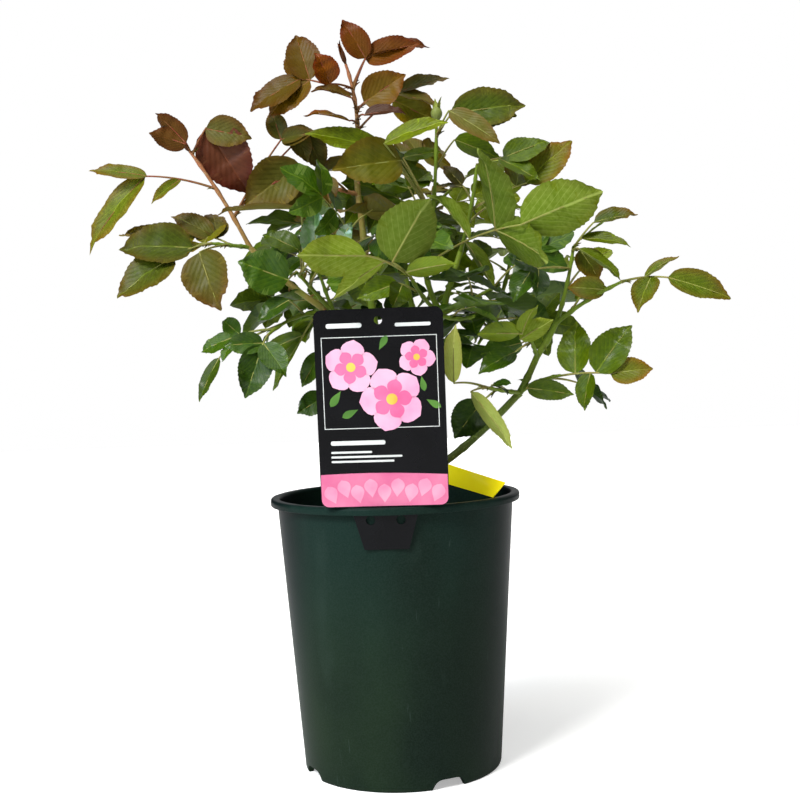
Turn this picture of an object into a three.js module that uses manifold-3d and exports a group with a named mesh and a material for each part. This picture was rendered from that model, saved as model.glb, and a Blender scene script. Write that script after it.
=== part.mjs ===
import * as THREE from "three";
import { mergeVertices } from "three/addons/utils/BufferGeometryUtils.js";
import Module from "manifold-3d";

// A bush rose in its nursery pot. Millimetres, +Z up. The origin is on the floor at the pot's axis, and the
// label card stands at the front rim, which faces -Y.

const wasm = await Module();
wasm.setup();

// Driving dimensions
const clearance = 0.3; // between neighbouring solids

const pot = {
  height: 218,
  rimRadius: 100,
  wallTopRadius: 94.8,
  footRadius: 79,
  wall: 2.2,
  floorUnderside: 9,
  floorThickness: 2.6,
  footWidth: 4.5,
  skirtHeight: 6,
  skirtThickness: 1.6,
  flangeThickness: 2.5,
  segments: 40,
  notchWidth: 28,
  notchHeight: 7.6,
  notchBearings: [-64, 26, 116, 206], // degrees round from the front, +X first
};

const soil = { top: 190, mound: 4, flat: 30 };

const label = {
  width: 94,
  height: 145,
  thickness: 0.8,
  corner: 6,
  tailTop: 47.6,
  tailFoot: 33,
  tailLength: 32,
  tailHole: 3.4,
  tailHoleSpacing: 22.4,
  tailHoleDrop: 10,
  hangHole: 3,
  hangHoleInset: 8.5,
  bearing: -4.1, // degrees off the front, toward -X
};

const tag = {
  limb: "right_1",
  at: 0.36, // along the cane it is looped round
  ringWall: 1.8,
  ringDepth: 1.6,
  thickness: 0.8,
  neck: 5,
  steps: 5,
  left: [[43, -20, 225.5], [42.7, -20, 241.5]], // low and high corners
  right: [[75.3, -51, 217.4], [85.3, -50, 228.4]],
};

const trunk = {
  foot: [1, 0, soil.top + clearance],
  head: [2, 0, 236],
  radii: [15.5, 12.5, 11.2, 11.6, 13.6, 12.4, 8],
  sides: 10,
};

// Limbs: parent, start, bow (the middle control point of the curve), end, start radius, end radius
const limbs = {
  right_1: ["trunk", [10, -3, 226], [46, -14, 239], [101, -20, 296], 3.4, 2.7],
  right_2: ["right_1", [101, -20, 296], [109, -22, 310], [115, -24, 324], 2.7, 2.5],
  right_3: ["right_2", [115, -24, 324], [125, -26, 338], [130, -28, 349], 2.5, 2.2],
  left_1: ["trunk", [-6, 3, 226], [-18, 8, 293], [-44, 12, 363], 3.4, 2.7],
  left_2: ["left_1", [-44, 12, 363], [-80, 14, 385], [-111, 12, 420], 2.7, 2.2],
  top_1: ["trunk", [1, 8, 226], [-6, 18, 309], [-16, 18, 387], 3.4, 2.8],
  top_2: ["top_1", [-16, 18, 387], [-18, 16, 423], [-22, 14, 460], 2.8, 2.4],
  top_3: ["top_2", [-22, 14, 460], [-23, 12, 479], [-21, 10, 497], 2.4, 2.1],
  centre_1: ["trunk", [3, -8, 226], [21, -22, 293], [41, -26, 359], 3.2, 2.6],
  centre_2: ["centre_1", [41, -26, 359], [49, -12, 383], [59, 4, 410], 2.6, 2.2],
  middle_1: ["centre_1", [41, -26, 359], [33, -6, 376], [30, 8, 397], 2.4, 2.1],
  back_1: ["trunk", [8, 6, 226], [16, 14, 276], [32, 30, 316], 3.2, 2.8],
  back_2: ["back_1", [32, 30, 316], [21, 56, 358], [12, 84, 409], 2.7, 2.2],
  back_right_1: ["back_1", [32, 30, 316], [54, 50, 336], [95, 72, 373], 2.7, 2.2],
  back_left_1: ["left_1", [-44, 12, 363], [-53, 40, 370], [-68, 74, 387], 2.5, 2.2],
};

// Leaflets beside the end blade: place along the stalk, angle off it, size against the end blade
const lone = [];
const oneLeft = [[0.82, 54, 0.92]];
const oneRight = [[0.82, -54, 0.92]];
const three = [[0.82, 54, 0.92], [0.82, -54, 0.92]];

// Masses on show: limb, bow, tip and leaves. A leaf is: place along the stem; the stalk's heading (0 is +X,
// 90 is +Y), rise and length; the end blade's heading, rise and length; how far its upper face turns to the
// front; the blade's width against its length; the leaflets beside it
const shownMasses = {
  left_tip: { limb: "left_2", bow: [-130, 10, 461], tip: [-155, 4, 497], seed: 3, buds: 1, leaves: [
    [0.6, 180, 12, 58, 173, -48, 77, 55, 0.36, [[0.97, -10, 0.62], [0.5, 60, 0.42]]],
    [1, 240, 55, 8, 200, 46, 33, -50, 0.62, oneRight],
    [0.97, 42, 58, 27, 7, -60, 62, 70, 0.66, [[0.95, -80, 0.62]]],
    [0.3, 13, 56, 89, 350, -67, 32, 45, 0.58, [...oneRight, ...three]],
    [0.3, 18, 48, 93, 16, -65, 33, 70, 0.72, lone],
  ] },
  left_low: { limb: "left_2", bow: [-122, 6, 421], tip: [-140, 0, 423], seed: 5, buds: 0, leaves: [
    [1, 206, -18, 33, 192, -33, 55, 68, 0.7, [[0.5, -22, 1.05]]],
    [0.9, 165, -1, 27, 167, 15, 58, 35, 0.54, [[0.85, -62, 0.75], [0.4, -88, 0.8], [0.5, 66, 0.5]]],
    [0.6, 231, -12, 33, 314, -67, 50, 75, 0.74, lone],
    [0.55, 150, 23, 19, 171, 29, 40, 40, 0.6, oneRight],
  ] },
  top_tip: { limb: "top_3", bow: [-18, 8, 531], tip: [-28, 6, 563], seed: 7, buds: 1, leaves: [
    [0.68, 344, 65, 27, 187, 60, 35, 75, 0.66, lone],
    [0.72, 12, 63, 30, 5, 9, 49, 45, 0.5, oneRight],
    [0.7, 231, 0, 27, 216, 65, 26, 60, 0.9, lone],
    [0.62, 174, 20, 46, 183, -29, 48, 65, 0.62, [...oneRight, ...three]],
    [0.45, 264, 11, 25, 195, 13, 32, 45, 0.62, lone],
    [0.4, 286, 10, 24, 349, 29, 39, 80, 0.72, lone],
    [0.46, 21, 22, 41, 8, 14, 43, 30, 0.5, oneRight],
    [0.33, 280, -5, 37, 349, -1, 32, 35, 0.5, lone],
    [0.28, 255, -2, 20, 193, 9, 37, 35, 0.5, lone],
    [0.2, 36, 38, 45, 10, -27, 40, 75, 0.7, lone],
  ] },
  upper_left: { limb: "top_2", bow: [-28, 8, 461], tip: [-38, 4, 463], seed: 11, buds: 0, leaves: [
    [1, 191, 31, 38, 189, -38, 52, 80, 0.72, [[0.82, 54, 0.92], [0.5, 70, 0.8]]],
    [0.6, 248, 11, 41, 290, -66, 26, 50, 0.7, lone],
  ] },
  centre_top: { limb: "middle_1", bow: [40, 2, 432], tip: [43, 0, 514], seed: 13, buds: 1, leaves: [
    [0.04, 302, 9, 128, 319, 14, 72, -80, 0.6,
      [[0.76, -60, 0.95], [0.76, 36, 0.85], [0.5, -112, 0.66], [0.45, 84, 0.6]]],
    [0.45, 227, 51, 55, 204, -8, 59, 86, 0.68, lone],
    [0.45, 198, 62, 65, 188, 21, 64, 50, 0.36, lone],
    [0.45, 224, 47, 75, 344, 16, 52, 62, 0.42, lone],
    [0.45, 155, 64, 56, 8, 8, 32, 50, 0.42, lone],
    [0.92, 7, 56, 23, 356, 4, 59, 72, 0.58, oneRight],
    [0.75, 51, 45, 38, 13, -23, 41, 45, 0.6, lone],
    [0.3, 118, 52, 65, 34, 0, 36, 40, 0.6, three],
    [0.93, 315, 51, 23, 342, -36, 49, 55, 0.4, lone],
  ] },
  right_upper: { limb: "centre_2", bow: [68, -20, 438], tip: [73, -16, 476], seed: 17, buds: 0, leaves: [
    [0.5, 16, 25, 53, 4, 41, 50, 60, 0.6, oneLeft],
    [0.6, 99, 27, 40, 150, 48, 24, 60, 0.62, oneLeft],
    [0.35, 58, 22, 63, 46, 39, 36, 40, 0.6, three],
    [1, 20, 15, 24, 15, 20, 42, 60, 0.6, oneRight],
  ] },
  right_tip: { limb: "right_3", bow: [140, -30, 375], tip: [145, -30, 407], seed: 19, buds: 0, leaves: [
    [1, 0, 50, 26, 353, 9, 34, 50, 0.55, lone],
    [1, 287, 22, 18, 338, -12, 38, 50, 0.42, oneLeft],
    [0.98, 55, 5, 12, 352, -58, 28, 78, 0.86, lone],
    [0.97, 274, 1, 20, 338, -37, 41, 15, 0.4, lone],
    [0.75, 212, -2, 38, 205, -51, 29, 60, 0.66, three],
    [0.45, 64, 22, 71, 42, 20, 31, 40, 0.6, three],
  ] },
  far_right: { limb: "right_3", bow: [147, -45, 365], tip: [175, -70, 378], seed: 23, buds: 0, leaves: [
    [1, 318, 1, 39, 355, -21, 48, 50, 0.5, [[0.65, -75, 0.85], [0.5, 35, 0.6]]],
    [0.5, 330, 26, 20, 168, 6, 29, 72, 0.62, lone],
    [0.3, 29, 48, 27, 137, -36, 18, 50, 0.6, oneRight],
  ] },
  low_right: { limb: "right_1", bow: [113, -25, 306], tip: [131, -40, 309], seed: 29, buds: 0, leaves: [
    [0.6, 332, 4, 56, 349, 6, 32, 78, 0.64, [[0.8, 58, 1.4], [0.72, -98, 0.9], [0.5, 90, 1.35]]],
    [0.45, 244, -10, 20, 350, -11, 36, 60, 0.46, lone],
    [0.7, 42, -9, 48, 41, -24, 33, 45, 0.6, three],
  ] },
  right_inner: { limb: "right_2", bow: [112, -36, 331], tip: [108, -44, 338], seed: 31, buds: 0, leaves: [
    [1, 240, 12, 19, 203, 1, 36, -60, 0.5, oneLeft],
    [0.9, 114, -6, 14, 187, -13, 34, 65, 0.7, lone],
    [1, 234, -2, 15, 342, 28, 29, -60, 0.6, lone],
    [0.8, 208, -24, 17, 199, -25, 34, 60, 0.6, lone],
  ] },
  front_centre: { limb: "centre_1", bow: [27, -60, 368], tip: [17, -88, 386], seed: 37, buds: 0, leaves: [
    [1, 234, 14, 53, 217, -2, 58, -75, 0.48, [[0.6, -60, 0.8]]],
    [0.95, 239, 23, 29, 329, 55, 54, -85, 0.78, lone],
    [0.9, 254, 19, 19, 347, 8, 37, -65, 0.46, lone],
    [0.6, 217, 22, 24, 191, -21, 33, 60, 0.6, oneLeft],
  ] },
  card_right: { limb: "right_1", bow: [88, -40, 298], tip: [72, -56, 302], seed: 41, buds: 0, leaves: [
    [0.9, 236, -3, 28, 338, -53, 53, -50, 0.3, lone],
    [1, 228, 7, 38, 264, 74, 44, -60, 0.36, lone],
    [0.7, 180, -38, 15, 190, -50, 35, 60, 0.8, lone],
    [0.95, 223, 43, 11, 342, 44, 28, 60, 0.6, lone],
    [0.4, 247, 9, 38, 314, 4, 20, 50, 0.6, oneLeft],
  ] },
  left_mid: { limb: "left_1", bow: [-63, 0, 387], tip: [-72, -14, 397], seed: 43, buds: 0, leaves: [
    [1, 245, -27, 15, 192, 21, 41, 82, 0.84, lone],
    [0.9, 296, 16, 38, 272, 78, 38, 74, 0.6, oneLeft],
    [0.75, 275, 65, 59, 178, 0, 67, 6, 0.4, lone],
    [0.6, 295, 21, 72, 321, 52, 20, 60, 0.6, three],
    [0.8, 96, 33, 46, 162, 27, 36, 60, 0.6, oneRight],
  ] },
  left_drop: { limb: "left_1", bow: [-71, -6, 370], tip: [-94, -34, 348], seed: 47, buds: 0, leaves: [
    [1, 234, -49, 11, 218, -68, 43, 76, 0.62, [[0.82, 54, 0.8], [0.82, -54, 0.7]]],
    [0.9, 163, -8, 36, 172, -21, 29, 50, 0.6, three],
    [0.8, 181, -26, 55, 193, -62, 38, 40, 0.36, lone],
    [0.45, 248, 27, 24, 199, -31, 29, 60, 0.6, lone],
    [0.25, 221, -50, 29, 190, -58, 45, 30, 0.34, oneRight],
  ] },
  card_left: { limb: "left_1", bow: [-50, -5, 339], tip: [-48, -20, 320], seed: 53, buds: 0, leaves: [
    [1, 251, -64, 24, 200, -29, 26, 65, 0.8, oneLeft],
    [0.6, 132, -15, 11, 167, -58, 32, 65, 0.55, lone],
  ] },
};

// Masses inside and behind, whose leaves follow one another round the stem: limb, bow, tip, count, the first
// leaf's heading, the lowest rise, seed
const ruledMasses = {
  inner_right: ["centre_1", [64, -20, 370], [89, -10, 382], 7, 0, 10, 89],
  inner_low_right: ["back_right_1", [84, 50, 352], [72, 14, 336], 6, 200, 5, 97],
  inner_top: ["top_1", [-27, -20, 412], [-28, -40, 425], 7, 230, 15, 101],
  inner_front: ["centre_1", [52, -52, 352], [64, -72, 356], 6, 290, 5, 109],
  inner_middle: ["top_1", [-2, -10, 397], [9, -40, 413], 6, 250, 10, 113],
  inner_left: ["left_1", [-50, 30, 376], [-60, 50, 408], 7, 170, 10, 103],
  inner_high: ["back_2", [28, 60, 443], [55, 60, 467], 7, 300, 20, 107],
  back_high: ["back_2", [12, 95, 447], [9, 98, 491], 7, 80, 20, 61],
  back_middle: ["back_2", [28, 96, 411], [46, 104, 429], 6, 60, 20, 67],
  back_left: ["back_left_1", [-66, 95, 406], [-57, 100, 437], 7, 120, 20, 71],
  back_right: ["back_right_1", [107, 95, 400], [112, 97, 435], 7, 40, 20, 73],
  back_low_left: ["back_left_1", [-64, 90, 376], [-42, 104, 368], 6, 60, 0, 79],
  back_low_right: ["back_right_1", [100, 92, 368], [92, 100, 356], 6, 60, 0, 83],
};
const ruledLeaf = { stalk: 22, blade: 58, nod: 18, face: 55, width: 0.62, turn: 137.5, riseStep: 12 };

const leafRule = { lift: 0.18, arch: 0.08, archSpread: 0.14, fold: 12, widthSpread: 0.12 };
const stemRule = { footRadius: 1.9, tipRadius: 1.3, sides: 5, steps: 4 };
const stalkRule = { footRadius: 1, tipRadius: 0.8 };
const bladeRule = {
  keel: 1.1, // below the midrib
  rootHalf: 0.7,
  sink: 0.6, // root into the stalk
  longFrom: 60,
  long: [0.28, 0.64], // places of the wide sections, from root to tip
  short: [0.45],
  shortGrow: 1.1,
};
const budRule = { length: 17, radius: 4.6 };
const room = { gap: 5.5, cells: new Map() };

// Other headings and rises that a leaf may take when its own place is taken
const shownShifts = [[0, 0], [8, 0], [-8, 0], [0, 8], [0, -8], [14, 6], [-14, 6]];
const ruledShifts = [[0, 0], [15, 0], [-15, 0], [0, 12], [0, -12], [30, 0], [-30, 0], [30, 12], [-30, 12],
  [45, 0], [-45, 0]];

// Small helpers
const vec = (x, y, z) => new THREE.Vector3(x, y, z);
const from = (list) => new THREE.Vector3(...list);
const radians = THREE.MathUtils.degToRad;
const moved = (point, way, by) => point.clone().addScaledVector(way, by);

function makeRandom(seed) {
  let state = (seed * 7919) % 2147483647;
  const draw = () => {
    state = (state * 16807) % 2147483647;
    return state / 2147483647;
  };
  draw();
  return draw;
}

function heading(degrees, rise) {
  const h = radians(degrees);
  const r = radians(rise);
  return vec(Math.cos(r) * Math.cos(h), Math.cos(r) * Math.sin(h), Math.sin(r));
}

function bend(start, bow, end, t) {
  return start.clone().lerp(bow, t).lerp(bow.clone().lerp(end, t), t);
}

// Closed meshes and solids
function loft(rings) {
  const points = rings.flat();
  const triangles = [];
  let base = 0;
  for (let i = 0; i + 1 < rings.length; i += 1) {
    const count = rings[i].length;
    const next = base + count;
    for (let j = 0; j < count; j += 1) {
      const k = (j + 1) % count;
      if (rings[i + 1].length === 1) {
        triangles.push(base + j, base + k, next);
      } else {
        triangles.push(base + j, base + k, next + k, base + j, next + k, next + j);
      }
    }
    base = next;
  }
  for (let j = 1; j + 1 < rings[0].length; j += 1) {
    triangles.push(0, j + 1, j);
  }
  const last = rings[rings.length - 1].length;
  for (let j = 1; j + 1 < last; j += 1) {
    triangles.push(base, base + j, base + j + 1);
  }
  return new wasm.Manifold(new wasm.Mesh({
    numProp: 3,
    vertProperties: new Float32Array(points.flatMap((p) => [p.x, p.y, p.z])),
    triVerts: new Uint32Array(triangles),
  }));
}

function tube(points, radii, sides) {
  let normal = vec(0.31, -0.87, 0.38);
  const rings = points.map((point, i) => {
    const before = points[Math.max(i - 1, 0)];
    const after = points[Math.min(i + 1, points.length - 1)];
    const way = after.clone().sub(before).normalize();
    normal = normal.clone().addScaledVector(way, -normal.dot(way)).normalize();
    const side = way.clone().cross(normal);
    return Array.from({ length: sides }, (_, j) => {
      const turn = (2 * Math.PI * j) / sides;
      return point.clone()
        .addScaledVector(normal, radii[i] * Math.cos(turn))
        .addScaledVector(side, radii[i] * Math.sin(turn));
    });
  });
  return loft(rings);
}

function toSolid(geometry) {
  const bare = geometry.clone();
  bare.deleteAttribute("normal");
  bare.deleteAttribute("uv");
  const merged = mergeVertices(bare, 1e-4);
  return new wasm.Manifold(new wasm.Mesh({
    numProp: 3,
    vertProperties: new Float32Array(merged.attributes.position.array),
    triVerts: new Uint32Array(merged.index.array),
  }));
}

function toGeometry(solid) {
  const mesh = solid.getMesh();
  const geometry = new THREE.BufferGeometry();
  geometry.setAttribute("position", new THREE.BufferAttribute(mesh.vertProperties, 3));
  geometry.setIndex(new THREE.BufferAttribute(mesh.triVerts, 1));
  geometry.computeVertexNormals();
  return geometry;
}

function lathe(profile, segments) {
  const geometry = new THREE.LatheGeometry(profile.map(([r, z]) => new THREE.Vector2(r, z)), segments);
  geometry.rotateX(Math.PI / 2);
  return toSolid(geometry);
}

// The plant and what stands in the pot
const plant = new THREE.Group();

const finishes = {
  pot: { color: 0x26342b, roughness: 0.42 },
  soil: { color: 0x2c211a, roughness: 1 },
  card: { color: 0x141517, roughness: 0.25 },
  tag: { color: 0xd6c41c, roughness: 0.5 },
  wood: { color: 0x4c4a26, roughness: 0.75 },
  cane: { color: 0x3f5a22, roughness: 0.5 },
  leaf: { color: 0x35591f, roughness: 0.45 },
  young: { color: 0x6b4220, roughness: 0.45 },
};

function addNode(name, solid, finish) {
  const material = new THREE.MeshStandardMaterial({ ...finishes[finish], metalness: 0 });
  const mesh = new THREE.Mesh(toGeometry(solid), material);
  mesh.name = name;
  plant.add(mesh);
}

// Pot: one moulding with a rolled rim, a raised floor, drainage notches in the foot and a slot for the label
function potRadius(z) {
  return pot.footRadius + ((pot.wallTopRadius - pot.footRadius) * z) / pot.height;
}

function potBody() {
  const flange = pot.height - pot.flangeThickness;
  const skirtFoot = pot.height - pot.skirtHeight;
  const floorTop = pot.floorUnderside + pot.floorThickness;
  const skirtInner = pot.rimRadius - pot.skirtThickness;
  return lathe([
    [0, pot.floorUnderside],
    [pot.footRadius - pot.footWidth - 1.5, pot.floorUnderside],
    [pot.footRadius - pot.footWidth, 0],
    [pot.footRadius - 0.8, 0],
    [potRadius(1.5), 1.5],
    [potRadius(flange), flange],
    [skirtInner, flange],
    [skirtInner, skirtFoot + 0.6],
    [skirtInner + 0.6, skirtFoot],
    [pot.rimRadius - 0.3, skirtFoot],
    [pot.rimRadius, pot.height - 1.6],
    [pot.rimRadius - 1.4, pot.height],
    [pot.wallTopRadius - pot.wall + 1.2, pot.height],
    [pot.wallTopRadius - pot.wall, pot.height - 1.4],
    [potRadius(floorTop + 2) - pot.wall, floorTop + 2],
    [potRadius(floorTop) - pot.wall - 2, floorTop],
    [0, floorTop],
  ], pot.segments);
}

function notchCutter(bearing) {
  const half = pot.notchWidth / 2;
  const shape = new THREE.Shape();
  shape.moveTo(-half, -1);
  shape.lineTo(-half, 0.5);
  shape.quadraticCurveTo(-half + 1, pot.notchHeight, -half + 7, pot.notchHeight);
  shape.lineTo(half - 7, pot.notchHeight);
  shape.quadraticCurveTo(half - 1, pot.notchHeight, half, 0.5);
  shape.lineTo(half, -1);
  const depth = 22;
  const geometry = new THREE.ExtrudeGeometry(shape, { depth, bevelEnabled: false, curveSegments: 4 });
  geometry.rotateX(Math.PI / 2);
  geometry.translate(0, -(pot.footRadius - 14), 0);
  geometry.rotateZ(radians(bearing));
  return toSolid(geometry);
}

// Label card: a flat plate that leans with the pot's wall, its tail pushed down through the rim
const wallLean = Math.atan((pot.wallTopRadius - pot.footRadius) / pot.height);
const labelFace = pot.wallTopRadius + clearance + label.thickness / 2;

function labelOutline(grow) {
  const half = label.width / 2;
  const r = label.corner;
  const tailTop = label.tailTop / 2 + grow;
  const tailFoot = label.tailFoot / 2 + grow;
  const shape = new THREE.Shape();
  shape.moveTo(-half + r, 0);
  shape.lineTo(-tailTop, 0);
  shape.lineTo(-tailTop, -pot.skirtHeight);
  shape.lineTo(-tailFoot, -label.tailLength);
  shape.lineTo(tailFoot, -label.tailLength);
  shape.lineTo(tailTop, -pot.skirtHeight);
  shape.lineTo(tailTop, 0);
  shape.lineTo(half - r, 0);
  shape.absarc(half - r, r, r, -Math.PI / 2, 0, false);
  shape.absarc(half - r, label.height - r, r, 0, Math.PI / 2, false);
  shape.absarc(-half + r, label.height - r, r, Math.PI / 2, Math.PI, false);
  shape.absarc(-half + r, r, r, Math.PI, 1.5 * Math.PI, false);
  return shape;
}

function roundHole(x, y, radius) {
  const hole = new THREE.Path();
  hole.absarc(x, y, radius, 0, 2 * Math.PI, true);
  return hole;
}

function standLabel(geometry, thickness) {
  geometry.translate(0, 0, -thickness / 2);
  geometry.rotateX(Math.PI / 2);
  geometry.rotateX(wallLean);
  geometry.translate(0, -labelFace, pot.height + clearance);
  geometry.rotateZ(radians(label.bearing));
  return geometry;
}

function labelCard() {
  const shape = labelOutline(0);
  shape.holes.push(roundHole(0, label.height - label.hangHoleInset, label.hangHole));
  for (const side of [-1, 1]) {
    shape.holes.push(roundHole((side * label.tailHoleSpacing) / 2, -label.tailHoleDrop, label.tailHole));
  }
  const depth = label.thickness;
  const geometry = new THREE.ExtrudeGeometry(shape, { depth, bevelEnabled: false, curveSegments: 4 });
  return toSolid(standLabel(geometry, depth));
}

function labelSlot() {
  const width = label.tailTop + 2 * clearance;
  const depth = label.thickness + 2 * clearance;
  const height = pot.skirtHeight + 4;
  const geometry = new THREE.BoxGeometry(width, height, depth);
  geometry.translate(0, 2 - height / 2, depth / 2);
  return toSolid(standLabel(geometry, depth));
}

// Compost: fills the pot from its floor to a little below the rim, mounded toward the stem
function compost() {
  const gap = clearance;
  const floorTop = pot.floorUnderside + pot.floorThickness + gap;
  const inner = (z) => potRadius(z) - pot.wall - gap;
  return lathe([
    [0, floorTop],
    [inner(floorTop) - 2.4, floorTop],
    [inner(floorTop + 2.4), floorTop + 2.4],
    [inner(soil.top - soil.mound), soil.top - soil.mound],
    [soil.flat, soil.top],
    [0, soil.top],
  ], pot.segments);
}

// Plant tag: a ring round the cane and a strip that runs down to the rim
function ringRound(centre, axis, inner, outer, depth) {
  const half = depth / 2;
  const profile = [[inner, -half], [outer, -half], [outer, half], [inner, half], [inner, -half]];
  const geometry = new THREE.LatheGeometry(profile.map(([r, z]) => new THREE.Vector2(r, z)), 10);
  geometry.applyQuaternion(new THREE.Quaternion().setFromUnitVectors(vec(0, 1, 0), axis));
  geometry.translate(...centre.toArray());
  return toSolid(geometry);
}

function stripRing(low, high, way) {
  const across = high.clone().sub(low).cross(way).setLength(tag.thickness / 2);
  return [low.clone().sub(across), low.clone().add(across), high.clone().add(across), high.clone().sub(across)];
}

function plantTag() {
  const [, start, bow, end, startRadius] = limbs[tag.limb];
  const at = (t) => bend(from(start), from(bow), from(end), t);
  const inner = startRadius + clearance;
  const axis = at(tag.at + 0.02).sub(at(tag.at - 0.02)).normalize();
  const [leftLow, leftHigh] = tag.left.map(from);
  const [rightLow, rightHigh] = tag.right.map(from);
  const way = rightLow.clone().add(rightHigh).sub(leftLow).sub(leftHigh).normalize();
  const front = vec(0, -1, 0);
  front.addScaledVector(axis, -front.dot(axis)).normalize();
  const neck = moved(at(tag.at), front, inner + tag.ringWall / 2);
  const up = vec(0, 0, 1);
  const rings = [stripRing(moved(neck, up, -tag.neck / 2), moved(neck, up, tag.neck / 2), way)];
  for (let i = 0; i <= tag.steps; i += 1) {
    const t = i / tag.steps;
    rings.push(stripRing(leftLow.clone().lerp(rightLow, t), leftHigh.clone().lerp(rightHigh, t), way));
  }
  const strip = loft(rings);
  return ringRound(at(tag.at), axis, inner, inner + tag.ringWall, tag.ringDepth).add(strip);
}

// Woody parts
function trunkSolid(extra) {
  const foot = from(trunk.foot);
  const head = from(trunk.head);
  const last = trunk.radii.length - 1;
  return loft(trunk.radii.map((radius, i) => {
    const middle = foot.clone().lerp(head, i / last);
    middle.z += i === last ? extra : 0;
    return Array.from({ length: trunk.sides }, (_, j) => {
      const turn = (2 * Math.PI * j) / trunk.sides;
      return moved(middle, vec(Math.cos(turn), Math.sin(turn), 0), radius + extra);
    });
  }));
}

function limbSolid([, start, bow, end, startRadius, endRadius], extra) {
  const [a, b, c] = [from(start), from(bow), from(end)];
  const steps = a.distanceTo(c) > 50 ? 6 : 3;
  const points = [];
  const radii = [];
  for (let i = 0; i <= steps; i += 1) {
    points.push(bend(a, b, c, i / steps));
    radii.push(startRadius + ((endRadius - startRadius) * i) / steps + extra);
  }
  if (extra > 0) {
    const way = points[steps].clone().sub(points[steps - 1]).normalize();
    points.push(moved(points[steps], way, extra));
    radii.push(endRadius + extra);
  }
  return tube(points, radii, 6);
}

// Leaves
function frontFacing(along, face) {
  const t = radians(face);
  const want = vec(0, -Math.sin(t), Math.cos(t));
  const flat = moved(want, along, -want.dot(along));
  if (flat.length() < 0.15) {
    return moved(vec(0, 0, 1), along, -along.z).normalize();
  }
  return flat.normalize();
}

// One compound leaf: points along its stalk, and its blades
function compoundLeaf(base, leaf, draw) {
  const [, stalkHeading, stalkRise, stalk, bladeHeading, bladeRise, blade, face, width, leaflets] = leaf;
  const along = heading(stalkHeading, stalkRise);
  const stalkPoint = (t) => moved(base, along, stalk * t).add(vec(0, 0, stalk * leafRule.lift * t * (1 - t)));
  const blades = [];
  const addBlade = (t, aim, top, size) => {
    const arch = leafRule.arch + leafRule.archSpread * draw();
    const out = moved(aim, top, arch).normalize();
    const flat = moved(top, out, -top.dot(out)).normalize();
    const roll = (draw() - 0.5) * 0.6;
    const side = flat.clone().cross(out);
    const rolled = flat.multiplyScalar(Math.cos(roll)).addScaledVector(side, Math.sin(roll)).normalize();
    blades.push({
      base: stalkPoint(t),
      out,
      top: rolled,
      length: blade * size,
      width: blade * size * width * (1 + leafRule.widthSpread * (draw() - 0.5)),
      arch,
      fold: leafRule.fold * (0.4 + 1.2 * draw()),
    });
  };
  const endWay = heading(bladeHeading, bladeRise);
  addBlade(1, endWay, frontFacing(endWay, face), 1);
  for (const [t, angle, size] of leaflets) {
    const way = along.clone().add(vec(0, 0, leafRule.lift * (1 - 2 * t))).normalize();
    const top = frontFacing(way, face);
    const side = top.clone().cross(way);
    const turn = radians(angle + (draw() - 0.5) * 12);
    const out = way.clone().multiplyScalar(Math.cos(turn)).addScaledVector(side, Math.sin(turn));
    out.addScaledVector(top, (draw() - 0.65) * 0.4).normalize();
    addBlade(t, out, top, size);
  }
  return { stalk: [0, 0.5, 1].map(stalkPoint), blades };
}

function bladeHalf(blade, s) {
  return ((blade.width / 2) * s ** 0.6 * (1 - s) ** 0.75) / 0.3957;
}

function bladePoint(blade, s, across) {
  const half = bladeHalf(blade, s) * across;
  const side = blade.top.clone().cross(blade.out);
  return moved(blade.base, blade.out, blade.length * s)
    .addScaledVector(blade.top, -blade.arch * blade.length * s * s)
    .addScaledVector(side, half)
    .addScaledVector(blade.top, Math.abs(half) * Math.tan(radians(blade.fold)));
}

// Three points round a stalk or the root of a blade, the third below
function stalkRing(point, side, top, radius) {
  return [
    moved(point, side, 0.87 * radius).addScaledVector(top, 0.5 * radius),
    moved(point, side, -0.87 * radius).addScaledVector(top, 0.5 * radius),
    moved(point, top, -radius),
  ];
}

function bladeRings(blade) {
  const isLong = blade.length >= bladeRule.longFrom;
  const wide = isLong ? 1 : bladeRule.shortGrow;
  const rings = (isLong ? bladeRule.long : bladeRule.short).map((s) => [
    bladePoint(blade, s, wide),
    bladePoint(blade, s, -wide),
    moved(bladePoint(blade, s, 0), blade.top, -bladeRule.keel),
  ]);
  return [...rings, [bladePoint(blade, 1, 0)]];
}

// A blade beside a stalk, its root sunk into it
function sideBlade(blade) {
  const side = blade.top.clone().cross(blade.out);
  const root = moved(blade.base, blade.out, -bladeRule.sink);
  return loft([stalkRing(root, side, blade.top, bladeRule.rootHalf), ...bladeRings(blade)]);
}

// A stalk that runs on into its end blade. Its frame is carried back from the blade, so that nothing twists
function stalkSolid(stalk, endBlade) {
  const last = stalk.length - 1;
  const outward = endBlade ? endBlade.out : stalk[last].clone().sub(stalk[last - 1]).normalize();
  let top = endBlade ? endBlade.top : frontFacing(outward, 0);
  const rings = [];
  for (let i = last; i >= 0; i -= 1) {
    const before = stalk[i].clone().sub(stalk[Math.max(i - 1, 0)]);
    const after = i === last ? outward : stalk[i + 1].clone().sub(stalk[i]).normalize();
    const way = (i === 0 ? after.clone() : before.normalize().add(after)).normalize();
    top = moved(top, way, -top.dot(way)).normalize();
    const radius = stalkRule.footRadius + ((stalkRule.tipRadius - stalkRule.footRadius) * i) / last;
    rings.unshift(stalkRing(stalk[i], top.clone().cross(way), top, radius));
  }
  return loft(endBlade ? [...rings, ...bladeRings(endBlade)] : rings);
}

// Points spread over a blade, by which the room it takes is kept
function bladeSamples(blade) {
  const samples = [];
  const rows = Math.ceil(blade.length / 4);
  for (let i = 1; i < rows; i += 1) {
    for (const across of [-1, -0.5, 0, 0.5, 1]) {
      samples.push(bladePoint(blade, i / rows, across));
    }
  }
  return samples;
}

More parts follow.
